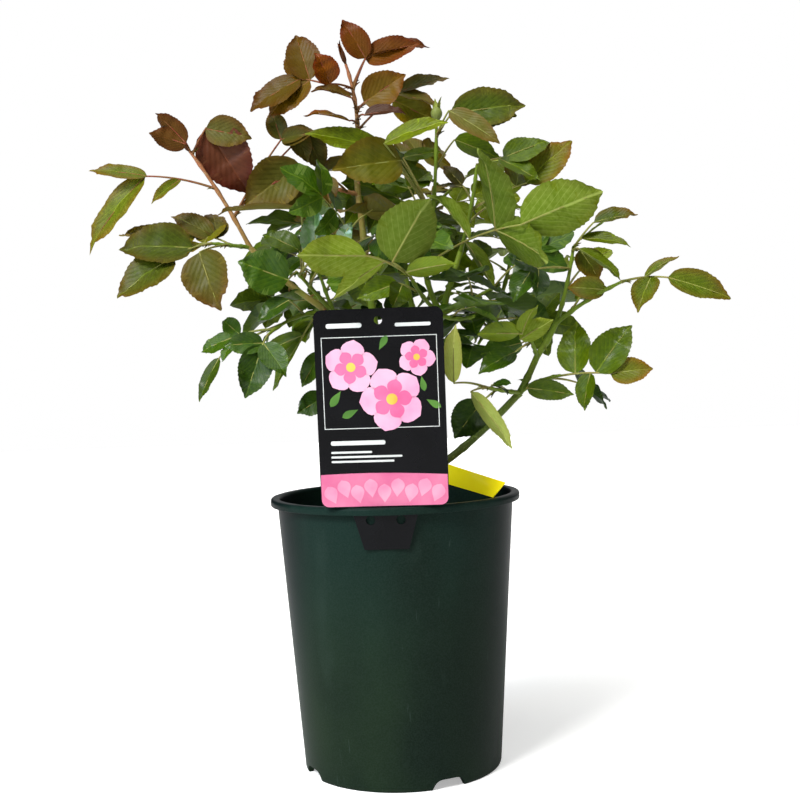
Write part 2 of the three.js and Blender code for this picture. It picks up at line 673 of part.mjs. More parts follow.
function cellOf(p) {
  return [Math.floor(p.x / room.gap), Math.floor(p.y / room.gap), Math.floor(p.z / room.gap)];
}

function takeRoom(points, owner) {
  for (const point of points) {
    const key = cellOf(point).join(",");
    if (!room.cells.has(key)) {
      room.cells.set(key, []);
    }
    room.cells.get(key).push({ point, owner });
  }
}

function isTaken(point, ignored) {
  const [x, y, z] = cellOf(point);
  for (let i = x - 1; i <= x + 1; i += 1) {
    for (let j = y - 1; j <= y + 1; j += 1) {
      for (let k = z - 1; k <= z + 1; k += 1) {
        const found = (room.cells.get(`${i},${j},${k}`) ?? []).some((entry) => (
          !ignored.has(entry.owner) && entry.point.distanceToSquared(point) < room.gap ** 2));
        if (found) {
          return true;
        }
      }
    }
  }
  return false;
}

function stalkSamples(stalk) {
  const samples = [];
  for (let i = 2; i < 12; i += 1) {
    const whole = Math.floor(i / 6);
    samples.push(stalk[whole].clone().lerp(stalk[whole + 1], (i % 6) / 6));
  }
  return samples;
}

function leafRows(mass, count) {
  const [, , , , first, rise] = mass;
  return Array.from({ length: count }, (_, i) => {
    const face = i % 2 ? ruledLeaf.face : -0.4 * ruledLeaf.face;
    const leafHeading = first + ruledLeaf.turn * i;
    const leafRise = rise + (i % 3) * ruledLeaf.riseStep;
    return [0.2 + (0.8 * (i + 1)) / count, leafHeading, leafRise, ruledLeaf.stalk,
      leafHeading, leafRise - ruledLeaf.nod, ruledLeaf.blade, face, ruledLeaf.width, lone];
  });
}

function allMasses() {
  const masses = Object.entries(shownMasses).map(([name, mass]) => (
    { name, ...mass, bow: from(mass.bow), tip: from(mass.tip), shown: true }));
  for (const [name, row] of Object.entries(ruledMasses)) {
    const [limb, bow, tip, count, , , seed] = row;
    masses.push({
      name, limb, seed, buds: 0, leaves: leafRows(row, count), bow: from(bow), tip: from(tip), shown: false,
    });
  }
  for (const mass of masses) {
    mass.start = from(limbs[mass.limb][3]);
  }
  return masses;
}

// The leaves of one mass that find room: each takes the first shift that clears it, or else the best one
function growLeaves(mass) {
  const draw = makeRandom(mass.seed);
  const stem = `${mass.name} stem`;
  const own = mass.leaves.map((_, i) => `${mass.name} ${i}`);
  const forStalk = new Set([stem, mass.limb, ...own]);
  const forBlades = new Set(mass.shown ? [stem, mass.limb, ...own] : [stem, mass.limb]);
  const grown = [];
  mass.leaves.forEach((leaf, index) => {
    const base = bend(mass.start, mass.bow, mass.tip, leaf[0]);
    const seed = Math.floor(draw() * 100000) + 1;
    let best = null;
    for (const [turn, lift] of mass.shown ? shownShifts : ruledShifts) {
      const shifted = [...leaf];
      shifted[1] += turn;
      shifted[2] += lift;
      shifted[4] += turn;
      shifted[5] += lift;
      const { stalk, blades } = compoundLeaf(base, shifted, makeRandom(seed));
      const blocked = stalkSamples(stalk).some((p) => isTaken(p, forStalk));
      const kept = blades.filter((blade) => !bladeSamples(blade).some((p) => isTaken(p, forBlades)));
      const endBlade = kept.includes(blades[0]) ? blades[0] : null;
      const score = kept.length - (endBlade ? 0 : 3) - (blocked ? 5 : 0);
      if (best === null || score > best.score) {
        best = { score, stalk, kept, blocked, endBlade };
      }
      if (score === blades.length) {
        break;
      }
    }
    if (best.blocked || best.kept.length === 0) {
      return;
    }
    takeRoom(stalkSamples(best.stalk), own[index]);
    for (const blade of best.kept) {
      takeRoom(bladeSamples(blade), own[index]);
    }
    grown.push(best);
  });
  return grown;
}

function stemSolid(mass, extra) {
  const points = [];
  const radii = [];
  for (let i = 0; i <= stemRule.steps; i += 1) {
    const t = i / stemRule.steps;
    points.push(bend(mass.start, mass.bow, mass.tip, t));
    radii.push(stemRule.footRadius + (stemRule.tipRadius - stemRule.footRadius) * t + extra);
  }
  return tube(points, radii, stemRule.sides);
}

function budSolid(mass) {
  const way = mass.tip.clone().sub(mass.bow).normalize();
  const radii = [0.5, 0.9, 1, 0.75, 0.3].map((share) => share * budRule.radius);
  const points = radii.map((_, i) => moved(mass.tip, way, (budRule.length * i) / 4 - 1));
  return tube(points, radii, 6);
}

// What a piece has to keep clear of where it leaves its limb, each grown by the clearance
const guards = new Map();

function guardAt(name) {
  if (!guards.has(name)) {
    guards.set(name, []);
  }
  return guards.get(name);
}

// Cuts a piece clear of its guards and keeps its largest body
function clearOf(solid, cutters) {
  let cut = solid;
  for (const cutter of cutters) {
    cut = cut.subtract(cutter);
  }
  return cut.decompose().sort((a, b) => b.volume() - a.volume())[0];
}

function buildPot() {
  let body = potBody();
  for (const bearing of pot.notchBearings) {
    body = body.subtract(notchCutter(bearing));
  }
  addNode("pot", body.subtract(labelSlot()), "pot");
  addNode("compost", compost(), "soil");
  addNode("label_card", labelCard(), "card");
  addNode("plant_tag", plantTag(), "tag");
}

function buildLimbs() {
  addNode("trunk", trunkSolid(0), "wood");
  guardAt("trunk").push(trunkSolid(clearance));
  for (const [name, row] of Object.entries(limbs)) {
    const parent = row[0];
    addNode(`cane_${name}`, clearOf(limbSolid(row, 0), guardAt(parent)), "cane");
    const grown = limbSolid(row, clearance);
    guardAt(parent).push(grown);
    guardAt(name).push(grown);
  }
}

function buildMasses() {
  const masses = allMasses();
  reserveRoom(masses);
  for (const mass of masses) {
    let solid = stemSolid(mass, 0);
    for (const { stalk, kept, endBlade } of growLeaves(mass)) {
      solid = solid.add(stalkSolid(stalk, endBlade));
      for (const blade of kept.filter((each) => each !== endBlade)) {
        solid = solid.add(sideBlade(blade));
      }
    }
    if (mass.buds > 0) {
      solid = solid.add(budSolid(mass));
    }
    addNode(`leaves_${mass.name}`, clearOf(solid, guardAt(mass.limb)), mass.buds > 0 ? "young" : "leaf");
    guardAt(mass.limb).push(stemSolid(mass, clearance));
  }
}

// The room that the pot, the label, the limbs and all the stems take before any leaf grows
function reserveRoom(masses) {
  const front = [];
  for (let x = -56; x < 44; x += 8) {
    for (let z = pot.height - 4; z < 372; z += 8) {
      front.push(vec(x, -96 - (z - 214) * Math.tan(wallLean), z));
    }
  }
  takeRoom(front, "label");
  const corners = [...tag.left, ...tag.right].map(from);
  for (let i = 0; i <= 12; i += 1) {
    for (let j = 0; j <= 3; j += 1) {
      const low = corners[0].clone().lerp(corners[2], i / 12);
      takeRoom([low.lerp(corners[1].clone().lerp(corners[3], i / 12), j / 3)], "tag");
    }
  }
  for (const [name, [, start, bow, end]] of Object.entries(limbs)) {
    const points = Array.from({ length: 13 }, (_, i) => bend(from(start), from(bow), from(end), i / 12));
    takeRoom(points, name);
  }
  for (const mass of masses) {
    const points = Array.from({ length: 10 }, (_, i) => bend(mass.start, mass.bow, mass.tip, (i + 1) / 10));
    takeRoom(points, `${mass.name} stem`);
  }
}

buildPot();
buildLimbs();
buildMasses();

export default plant;
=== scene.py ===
import math
from functools import reduce

import bmesh
import bpy
from mathutils import Matrix, Vector


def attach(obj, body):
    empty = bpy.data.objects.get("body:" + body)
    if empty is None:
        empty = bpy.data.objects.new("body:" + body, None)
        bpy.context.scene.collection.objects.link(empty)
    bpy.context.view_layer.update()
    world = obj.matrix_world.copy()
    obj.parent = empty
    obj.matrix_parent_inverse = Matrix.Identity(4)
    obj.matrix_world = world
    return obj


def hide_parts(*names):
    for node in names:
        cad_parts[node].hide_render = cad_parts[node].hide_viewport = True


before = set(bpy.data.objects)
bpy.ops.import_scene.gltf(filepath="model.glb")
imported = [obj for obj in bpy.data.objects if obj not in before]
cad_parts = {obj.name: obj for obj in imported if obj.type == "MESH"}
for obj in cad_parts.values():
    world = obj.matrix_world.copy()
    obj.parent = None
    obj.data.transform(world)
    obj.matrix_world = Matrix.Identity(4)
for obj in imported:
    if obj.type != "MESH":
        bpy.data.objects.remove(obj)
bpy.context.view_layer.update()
print("frame loaded")

# Driving sizes in millimetres, the same as the solids'
pot = {
    "height": 218, "rimRadius": 100, "wallTopRadius": 94.8, "footRadius": 79, "wall": 2.2,
    "floorUnderside": 9, "floorThickness": 2.6, "footWidth": 4.5, "skirtHeight": 6, "skirtThickness": 1.6,
    "flangeThickness": 2.5, "notchWidth": 28, "notchHeight": 7.6, "notchBearings": (-64, 26, 116, 206),
}
soil = {"top": 190, "mound": 4}
label = {
    "width": 94, "height": 145, "thickness": 0.8, "corner": 6, "bearing": -4.1, "foot": 218.3,
    "tailTop": 47.6, "tailFoot": 33, "tailLength": 32, "tailHole": 3.4, "tailHoleSpacing": 22.4,
    "tailHoleDrop": 10, "hangHole": 3, "hangHoleInset": 8.5,
}
tag = {
    "limb": "right_1", "at": 0.36, "ringWall": 1.8, "ringDepth": 1.6, "thickness": 0.8, "neck": 5,
    "left": ((43, -20, 225.5), (42.7, -20, 241.5)), "right": ((75.3, -51, 217.4), (85.3, -50, 228.4)),
}
# Dome: rise and radius. Stubs are the cut ends of old canes: heading, height, length, radius. They lean up,
# start inside the trunk and swell at the foot
trunk = {
    "foot": (1, 0, 190.3), "head": (2, 0, 236), "radii": (15.5, 12.5, 11.2, 11.6, 13.6, 12.4, 8),
    "dome": ((1.2, 5.6), (2.0, 2.8), (2.4, 0.2)),
    "stubs": ((40, 38, 9, 4.2), (165, 44, 8, 3.8), (280, 30, 7, 3.4)),
    "stubLean": 0.6, "stubStart": 7, "stubRings": (1.25, 1.0, 0.95, 1.0, 0.75),
}
clearance = 0.3
wallLean = math.atan((pot["wallTopRadius"] - pot["footRadius"]) / pot["height"])

# Limbs: parent, start, bow (the middle control point of the curve), end, start radius, end radius
limbs = {
    "right_1": ("trunk", (10, -3, 226), (46, -14, 239), (101, -20, 296), 3.4, 2.7),
    "right_2": ("right_1", (101, -20, 296), (109, -22, 310), (115, -24, 324), 2.7, 2.5),
    "right_3": ("right_2", (115, -24, 324), (125, -26, 338), (130, -28, 349), 2.5, 2.2),
    "left_1": ("trunk", (-6, 3, 226), (-18, 8, 293), (-44, 12, 363), 3.4, 2.7),
    "left_2": ("left_1", (-44, 12, 363), (-80, 14, 385), (-111, 12, 420), 2.7, 2.2),
    "top_1": ("trunk", (1, 8, 226), (-6, 18, 309), (-16, 18, 387), 3.4, 2.8),
    "top_2": ("top_1", (-16, 18, 387), (-18, 16, 423), (-22, 14, 460), 2.8, 2.4),
    "top_3": ("top_2", (-22, 14, 460), (-23, 12, 479), (-21, 10, 497), 2.4, 2.1),
    "centre_1": ("trunk", (3, -8, 226), (21, -22, 293), (41, -26, 359), 3.2, 2.6),
    "centre_2": ("centre_1", (41, -26, 359), (49, -12, 383), (59, 4, 410), 2.6, 2.2),
    "middle_1": ("centre_1", (41, -26, 359), (33, -6, 376), (30, 8, 397), 2.4, 2.1),
    "back_1": ("trunk", (8, 6, 226), (16, 14, 276), (32, 30, 316), 3.2, 2.8),
    "back_2": ("back_1", (32, 30, 316), (21, 56, 358), (12, 84, 409), 2.7, 2.2),
    "back_right_1": ("back_1", (32, 30, 316), (54, 50, 336), (95, 72, 373), 2.7, 2.2),
    "back_left_1": ("left_1", (-44, 12, 363), (-53, 40, 370), (-68, 74, 387), 2.5, 2.2),
}

# Leaflets beside the end blade: place along the stalk, angle off it, size against the end blade
lone = ()
oneLeft = ((0.82, 54, 0.92),)
oneRight = ((0.82, -54, 0.92),)
three = ((0.82, 54, 0.92), (0.82, -54, 0.92))

# Masses on show: limb, bow, tip, seed, buds and leaves. A leaf is: place along the stem; the stalk's heading
# (0 is +X, 90 is +Y), rise and length; the end blade's heading, rise and length; how far its upper face turns
# to the front; the blade's width against its length; the leaflets beside it
shownMasses = {
    "left_tip": ("left_2", (-130, 10, 461), (-155, 4, 497), 3, 1, [
        (0.6, 180, 12, 58, 173, -48, 77, 55, 0.36, ((0.97, -10, 0.62), (0.5, 60, 0.42))),
        (1, 240, 55, 8, 200, 46, 33, -50, 0.62, oneRight),
        (0.97, 42, 58, 27, 7, -60, 62, 70, 0.66, ((0.95, -80, 0.62),)),
        (0.3, 13, 56, 89, 350, -67, 32, 45, 0.58, (*oneRight, *three)),
        (0.3, 18, 48, 93, 16, -65, 33, 70, 0.72, lone),
    ]),
    "left_low": ("left_2", (-122, 6, 421), (-140, 0, 423), 5, 0, [
        (1, 206, -18, 33, 192, -33, 55, 68, 0.7, ((0.5, -22, 1.05),)),
        (0.9, 165, -1, 27, 167, 15, 58, 35, 0.54, ((0.85, -62, 0.75), (0.4, -88, 0.8), (0.5, 66, 0.5))),
        (0.6, 231, -12, 33, 314, -67, 50, 75, 0.74, lone),
        (0.55, 150, 23, 19, 171, 29, 40, 40, 0.6, oneRight),
    ]),
    "top_tip": ("top_3", (-18, 8, 531), (-28, 6, 563), 7, 1, [
        (0.68, 344, 65, 27, 187, 60, 35, 75, 0.66, lone),
        (0.72, 12, 63, 30, 5, 9, 49, 45, 0.5, oneRight),
        (0.7, 231, 0, 27, 216, 65, 26, 60, 0.9, lone),
        (0.62, 174, 20, 46, 183, -29, 48, 65, 0.62, (*oneRight, *three)),
        (0.45, 264, 11, 25, 195, 13, 32, 45, 0.62, lone),
        (0.4, 286, 10, 24, 349, 29, 39, 80, 0.72, lone),
        (0.46, 21, 22, 41, 8, 14, 43, 30, 0.5, oneRight),
        (0.33, 280, -5, 37, 349, -1, 32, 35, 0.5, lone),
        (0.28, 255, -2, 20, 193, 9, 37, 35, 0.5, lone),
        (0.2, 36, 38, 45, 10, -27, 40, 75, 0.7, lone),
    ]),
    "upper_left": ("top_2", (-28, 8, 461), (-38, 4, 463), 11, 0, [
        (1, 191, 31, 38, 189, -38, 52, 80, 0.72, ((0.82, 54, 0.92), (0.5, 70, 0.8))),
        (0.6, 248, 11, 41, 290, -66, 26, 50, 0.7, lone),
    ]),
    "centre_top": ("middle_1", (40, 2, 432), (43, 0, 514), 13, 1, [
        (0.04, 302, 9, 128, 319, 14, 72, -80, 0.6,
        ((0.76, -60, 0.95), (0.76, 36, 0.85), (0.5, -112, 0.66), (0.45, 84, 0.6))),
        (0.45, 227, 51, 55, 204, -8, 59, 86, 0.68, lone),
        (0.45, 198, 62, 65, 188, 21, 64, 50, 0.36, lone),
        (0.45, 224, 47, 75, 344, 16, 52, 62, 0.42, lone),
        (0.45, 155, 64, 56, 8, 8, 32, 50, 0.42, lone),
        (0.92, 7, 56, 23, 356, 4, 59, 72, 0.58, oneRight),
        (0.75, 51, 45, 38, 13, -23, 41, 45, 0.6, lone),
        (0.3, 118, 52, 65, 34, 0, 36, 40, 0.6, three),
        (0.93, 315, 51, 23, 342, -36, 49, 55, 0.4, lone),
    ]),
    "right_upper": ("centre_2", (68, -20, 438), (73, -16, 476), 17, 0, [
        (0.5, 16, 25, 53, 4, 41, 50, 60, 0.6, oneLeft),
        (0.6, 99, 27, 40, 150, 48, 24, 60, 0.62, oneLeft),
        (0.35, 58, 22, 63, 46, 39, 36, 40, 0.6, three),
        (1, 20, 15, 24, 15, 20, 42, 60, 0.6, oneRight),
    ]),
    "right_tip": ("right_3", (140, -30, 375), (145, -30, 407), 19, 0, [
        (1, 0, 50, 26, 353, 9, 34, 50, 0.55, lone),
        (1, 287, 22, 18, 338, -12, 38, 50, 0.42, oneLeft),
        (0.98, 55, 5, 12, 352, -58, 28, 78, 0.86, lone),
        (0.97, 274, 1, 20, 338, -37, 41, 15, 0.4, lone),
        (0.75, 212, -2, 38, 205, -51, 29, 60, 0.66, three),
        (0.45, 64, 22, 71, 42, 20, 31, 40, 0.6, three),
    ]),
    "far_right": ("right_3", (147, -45, 365), (175, -70, 378), 23, 0, [
        (1, 318, 1, 39, 355, -21, 48, 50, 0.5, ((0.65, -75, 0.85), (0.5, 35, 0.6))),
        (0.5, 330, 26, 20, 168, 6, 29, 72, 0.62, lone),
        (0.3, 29, 48, 27, 137, -36, 18, 50, 0.6, oneRight),
    ]),
    "low_right": ("right_1", (113, -25, 306), (131, -40, 309), 29, 0, [
        (0.6, 332, 4, 56, 349, 6, 32, 78, 0.64, ((0.8, 58, 1.4), (0.72, -98, 0.9), (0.5, 90, 1.35))),
        (0.45, 244, -10, 20, 350, -11, 36, 60, 0.46, lone),
        (0.7, 42, -9, 48, 41, -24, 33, 45, 0.6, three),
    ]),
    "right_inner": ("right_2", (112, -36, 331), (108, -44, 338), 31, 0, [
        (1, 240, 12, 19, 203, 1, 36, -60, 0.5, oneLeft),
        (0.9, 114, -6, 14, 187, -13, 34, 65, 0.7, lone),
        (1, 234, -2, 15, 342, 28, 29, -60, 0.6, lone),
        (0.8, 208, -24, 17, 199, -25, 34, 60, 0.6, lone),
    ]),
    "front_centre": ("centre_1", (27, -60, 368), (17, -88, 386), 37, 0, [
        (1, 234, 14, 53, 217, -2, 58, -75, 0.48, ((0.6, -60, 0.8),)),
        (0.95, 239, 23, 29, 329, 55, 54, -85, 0.78, lone),
        (0.9, 254, 19, 19, 347, 8, 37, -65, 0.46, lone),
        (0.6, 217, 22, 24, 191, -21, 33, 60, 0.6, oneLeft),
    ]),
    "card_right": ("right_1", (88, -40, 298), (72, -56, 302), 41, 0, [
        (0.9, 236, -3, 28, 338, -53, 53, -50, 0.3, lone),
        (1, 228, 7, 38, 264, 74, 44, -60, 0.36, lone),
        (0.7, 180, -38, 15, 190, -50, 35, 60, 0.8, lone),
        (0.95, 223, 43, 11, 342, 44, 28, 60, 0.6, lone),
        (0.4, 247, 9, 38, 314, 4, 20, 50, 0.6, oneLeft),
    ]),
    "left_mid": ("left_1", (-63, 0, 387), (-72, -14, 397), 43, 0, [
        (1, 245, -27, 15, 192, 21, 41, 82, 0.84, lone),
        (0.9, 296, 16, 38, 272, 78, 38, 74, 0.6, oneLeft),
        (0.75, 275, 65, 59, 178, 0, 67, 6, 0.4, lone),
        (0.6, 295, 21, 72, 321, 52, 20, 60, 0.6, three),
        (0.8, 96, 33, 46, 162, 27, 36, 60, 0.6, oneRight),
    ]),
    "left_drop": ("left_1", (-71, -6, 370), (-94, -34, 348), 47, 0, [
        (1, 234, -49, 11, 218, -68, 43, 76, 0.62, ((0.82, 54, 0.8), (0.82, -54, 0.7))),
        (0.9, 163, -8, 36, 172, -21, 29, 50, 0.6, three),
        (0.8, 181, -26, 55, 193, -62, 38, 40, 0.36, lone),
        (0.45, 248, 27, 24, 199, -31, 29, 60, 0.6, lone),
        (0.25, 221, -50, 29, 190, -58, 45, 30, 0.34, oneRight),
    ]),
    "card_left": ("left_1", (-50, -5, 339), (-48, -20, 320), 53, 0, [
        (1, 251, -64, 24, 200, -29, 26, 65, 0.8, oneLeft),
        (0.6, 132, -15, 11, 167, -58, 32, 65, 0.55, lone),
    ]),
}

# Masses inside and behind, whose leaves follow one another round the stem: limb, bow, tip, count, the first
# leaf's heading, the lowest rise, seed
ruledMasses = {
    "inner_right": ("centre_1", (64, -20, 370), (89, -10, 382), 7, 0, 10, 89),
    "inner_low_right": ("back_right_1", (84, 50, 352), (72, 14, 336), 6, 200, 5, 97),
    "inner_top": ("top_1", (-27, -20, 412), (-28, -40, 425), 7, 230, 15, 101),
    "inner_front": ("centre_1", (52, -52, 352), (64, -72, 356), 6, 290, 5, 109),
    "inner_middle": ("top_1", (-2, -10, 397), (9, -40, 413), 6, 250, 10, 113),
    "inner_left": ("left_1", (-50, 30, 376), (-60, 50, 408), 7, 170, 10, 103),
    "inner_high": ("back_2", (28, 60, 443), (55, 60, 467), 7, 300, 20, 107),
    "back_high": ("back_2", (12, 95, 447), (9, 98, 491), 7, 80, 20, 61),
    "back_middle": ("back_2", (28, 96, 411), (46, 104, 429), 6, 60, 20, 67),
    "back_left": ("back_left_1", (-66, 95, 406), (-57, 100, 437), 7, 120, 20, 71),
    "back_right": ("back_right_1", (107, 95, 400), (112, 97, 435), 7, 40, 20, 73),
    "back_low_left": ("back_left_1", (-64, 90, 376), (-42, 104, 368), 6, 60, 0, 79),
    "back_low_right": ("back_right_1", (100, 92, 368), (92, 100, 356), 6, 60, 0, 83),
}

leafRule = {
    "lift": 0.18, "arch": 0.08, "archSpread": 0.14, "fold": 12, "foldLeast": 0.4, "foldSpread": 1.2,
    "widthSpread": 0.12, "roll": 0.6, "swing": 12, "nodMiddle": 0.65, "nod": 0.4, "gap": 5.5,
}
ruledLeaf = {"stalk": 22, "blade": 58, "nod": 18, "face": 55, "width": 0.62, "turn": 137.5, "riseStep": 12}
# How much a place loses when its end blade has no room and when its stalk is blocked
penalties = {"end": 3, "stalk": 5}
# Room in front of the pot that leaves keep clear of for the label
labelRoom = {"left": -56, "right": 44, "low": 214, "high": 372, "front": -96, "step": 8}

# Other headings and rises that a leaf may take when its own place is taken
shownShifts = ((0, 0), (8, 0), (-8, 0), (0, 8), (0, -8), (14, 6), (-14, 6))
ruledShifts = ((0, 0), (15, 0), (-15, 0), (0, 12), (0, -12), (30, 0), (-30, 0), (30, 12), (-30, 12), (45, 0),
               (-45, 0))

# The rule of growth, in millimetres and on plain tuples. It is the same as the solids', draw for draw


def add(a, b, by=1.0):
    return (a[0] + b[0] * by, a[1] + b[1] * by, a[2] + b[2] * by)


def dot(a, b):
    return a[0] * b[0] + a[1] * b[1] + a[2] * b[2]


def cross(a, b):
    return (a[1] * b[2] - a[2] * b[1], a[2] * b[0] - a[0] * b[2], a[0] * b[1] - a[1] * b[0])


def scaled(a, by):
    return (a[0] * by, a[1] * by, a[2] * by)


def unit(a):
    return scaled(a, 1 / math.sqrt(dot(a, a)))


def mixed(a, b, t):
    return add(scaled(a, 1 - t), b, t)


# The part of a vector that is square to a way
def beside(a, way):
    return add(a, way, -dot(a, way))


def swung(a, side, turn):
    return add(scaled(a, math.cos(turn)), side, math.sin(turn))


def bend(start, bow, end, t):
    return mixed(mixed(start, bow, t), mixed(bow, end, t), t)


def spread(first, last, steps):
    return [first + (last - first) * i / steps for i in range(steps + 1)]


def bendLine(start, bow, end, steps):
    return [bend(start, bow, end, i / steps) for i in range(steps + 1)]


def heading(degrees, rise):
    turn = math.radians(degrees)
    lift = math.radians(rise)
    return (math.cos(lift) * math.cos(turn), math.cos(lift) * math.sin(turn), math.sin(lift))


drawPrime = 7919
drawFactor = 16807
drawRange = 2147483647


def makeDraw(seed):
    state = [(seed * drawPrime) % drawRange]

    def draw():
        state[0] = (state[0] * drawFactor) % drawRange
        return state[0] / drawRange

    draw()
    return draw


def frontFacing(along, face):
    turn = math.radians(face)
    want = (0, -math.sin(turn), math.cos(turn))
    flat = beside(want, along)
    return unit(beside((0, 0, 1), along) if math.sqrt(dot(flat, flat)) < 0.15 else flat)


def compoundLeaf(base, leaf, draw):
    _, stalkHeading, stalkRise, stalk, bladeHeading, bladeRise, blade, face, width, leaflets = leaf
    along = heading(stalkHeading, stalkRise)

    def stalkPoint(t):
        return add(add(base, along, stalk * t), (0, 0, stalk * leafRule["lift"] * t * (1 - t)))

    blades = []

    def addBlade(t, aim, top, size):
        arch = leafRule["arch"] + leafRule["archSpread"] * draw()
        out = unit(add(aim, top, arch))
        flat = unit(beside(top, out))
        roll = (draw() - 0.5) * leafRule["roll"]
        blades.append({
            "base": stalkPoint(t), "out": out, "top": unit(swung(flat, cross(flat, out), roll)),
            "length": blade * size,
            "width": blade * size * width * (1 + leafRule["widthSpread"] * (draw() - 0.5)),
            "arch": arch,
            "fold": leafRule["fold"] * (leafRule["foldLeast"] + leafRule["foldSpread"] * draw()),
        })

    endWay = heading(bladeHeading, bladeRise)
    addBlade(1, endWay, frontFacing(endWay, face), 1)
    for t, angle, size in leaflets:
        way = unit(add(along, (0, 0, leafRule["lift"] * (1 - 2 * t))))
        top = frontFacing(way, face)
        turn = math.radians(angle + (draw() - 0.5) * leafRule["swing"])
        nod = (draw() - leafRule["nodMiddle"]) * leafRule["nod"]
        addBlade(t, unit(add(swung(way, cross(top, way), turn), top, nod)), top, size)
    return {"stalk": [stalkPoint(t) for t in (0, 0.5, 1)], "blades": blades}


# Outlines of a blade: the powers at its foot and its tip, and the peak that they reach
solidOutline = (0.6, 0.75, 0.3957)
finalOutline = (0.56, 0.82, 0.3938)


def bladePoint(blade, s, across):
    foot, tip, peak = solidOutline
    half = (blade["width"] / 2) * s ** foot * (1 - s) ** tip / peak * across
    side = cross(blade["top"], blade["out"])
    point = add(blade["base"], blade["out"], blade["length"] * s)
    point = add(point, blade["top"], -blade["arch"] * blade["length"] * s * s)
    point = add(point, side, half)
    return add(point, blade["top"], abs(half) * math.tan(math.radians(blade["fold"])))


def bladeSamples(blade):
    rows = math.ceil(blade["length"] / 4)
    return [bladePoint(blade, i / rows, across) for i in range(1, rows) for across in (-1, -0.5, 0, 0.5, 1)]


def stalkSamples(stalk):
    return [mixed(stalk[i // 6], stalk[i // 6 + 1], (i % 6) / 6) for i in range(2, 12)]


# Room already taken, kept as cells of points with their owners
takenCells = {}


def cellOf(point):
    return tuple(math.floor(value / leafRule["gap"]) for value in point)


def takeRoom(points, owner):
    for point in points:
        takenCells.setdefault(cellOf(point), []).append((point, owner))


def isTaken(point, ignored):
    x, y, z = cellOf(point)
    limit = leafRule["gap"] ** 2
    for i in (x - 1, x, x + 1):
        for j in (y - 1, y, y + 1):
            for k in (z - 1, z, z + 1):
                for other, owner in takenCells.get((i, j, k), ()):
                    if owner in ignored:
                        continue
                    gap = add(point, other, -1)
                    if dot(gap, gap) < limit:
                        return True
    return False


def ruledLeaves(count, first, rise):
    leaves = []
    for i in range(count):
        face = ruledLeaf["face"] if i % 2 else -0.4 * ruledLeaf["face"]
        turned = first + ruledLeaf["turn"] * i
        lifted = rise + (i % 3) * ruledLeaf["riseStep"]
        leaves.append((0.2 + 0.8 * (i + 1) / count, turned, lifted, ruledLeaf["stalk"], turned,
                       lifted - ruledLeaf["nod"], ruledLeaf["blade"], face, ruledLeaf["width"], lone))
    return leaves


def allMasses():
    rows = {name: (*row, True) for name, row in shownMasses.items()}
    for name, (limb, bow, tip, *rule, seed) in ruledMasses.items():
        rows[name] = (limb, bow, tip, seed, 0, ruledLeaves(*rule), False)
    keys = ("limb", "bow", "tip", "seed", "buds", "leaves", "shown")
    return [{"name": name, "start": limbs[row[0]][3], **dict(zip(keys, row))} for name, row in rows.items()]


def stemPoint(mass, t):
    return bend(mass["start"], mass["bow"], mass["tip"], t)


# Each leaf takes the first shift that clears its neighbours, or else the best one
def growLeaves(mass):
    draw = makeDraw(mass["seed"])
    own = [f"{mass['name']} {i}" for i in range(len(mass["leaves"]))]
    forBlades = {mass["name"] + " stem", mass["limb"]}
    forStalk = {*forBlades, *own}
    if mass["shown"]:
        forBlades = forStalk
    grown = []
    for index, (place, turned, rise, stalk, bladeTurned, bladeRise, *rest) in enumerate(mass["leaves"]):
        base = stemPoint(mass, place)
        seed = math.floor(draw() * 100000) + 1
        best = None
        for turn, lift in shownShifts if mass["shown"] else ruledShifts:
            leaf = (place, turned + turn, rise + lift, stalk, bladeTurned + turn, bladeRise + lift, *rest)
            made = compoundLeaf(base, leaf, makeDraw(seed))
            isBlocked = any(isTaken(point, forStalk) for point in stalkSamples(made["stalk"]))
            kept = [blade for blade in made["blades"]
                    if not any(isTaken(point, forBlades) for point in bladeSamples(blade))]
            hasEnd = any(blade is made["blades"][0] for blade in kept)
            score = len(kept) - (0 if hasEnd else penalties["end"]) - (penalties["stalk"] if isBlocked else 0)
            if best is None or score > best["score"]:
                best = {"score": score, "stalk": made["stalk"], "blades": kept, "isBlocked": isBlocked,
                        "index": index}
            if score == len(made["blades"]):
                break
        if best["isBlocked"] or not best["blades"]:
            continue
        takeRoom(stalkSamples(best["stalk"]), own[index])
        for blade in best["blades"]:
            takeRoom(bladeSamples(blade), own[index])
        grown.append(best)
    return grown


def reserveTag():
    corners = [*tag["left"], *tag["right"]]
    for i in range(13):
        low = mixed(corners[0], corners[2], i / 12)
        high = mixed(corners[1], corners[3], i / 12)
        takeRoom([mixed(low, high, j / 3) for j in range(4)], "tag")


def growPlant():
    masses = allMasses()
    low, step = labelRoom["low"], labelRoom["step"]
    for x in range(labelRoom["left"], labelRoom["right"], step):
        for z in range(low, labelRoom["high"], step):
            takeRoom([(x, labelRoom["front"] - (z - low) * math.tan(wallLean), z)], "label")
    reserveTag()
    for name, (_, start, bow, end, _, _) in limbs.items():
        takeRoom(bendLine(start, bow, end, 12), name)
    for mass in masses:
        takeRoom([stemPoint(mass, i / 10) for i in range(1, 11)], mass["name"] + " stem")
    for mass in masses:
        mass["grown"] = growLeaves(mass)
    return masses

# Wiring of node trees: each helper gives back what it adds, as outputs or as its one output


def feed(tree, socket, value):
    if isinstance(value, bpy.types.NodeSocket):
        tree.links.new(value, socket)
    else:
        socket.default_value = value


def addNode(tree, kind, inputs=None, **settings):
    made = tree.nodes.new(kind)
    for key, value in settings.items():
        setattr(made, key, value)
    for key, value in (inputs or {}).items():
        feed(tree, made.inputs[key], value)
    return made.outputs


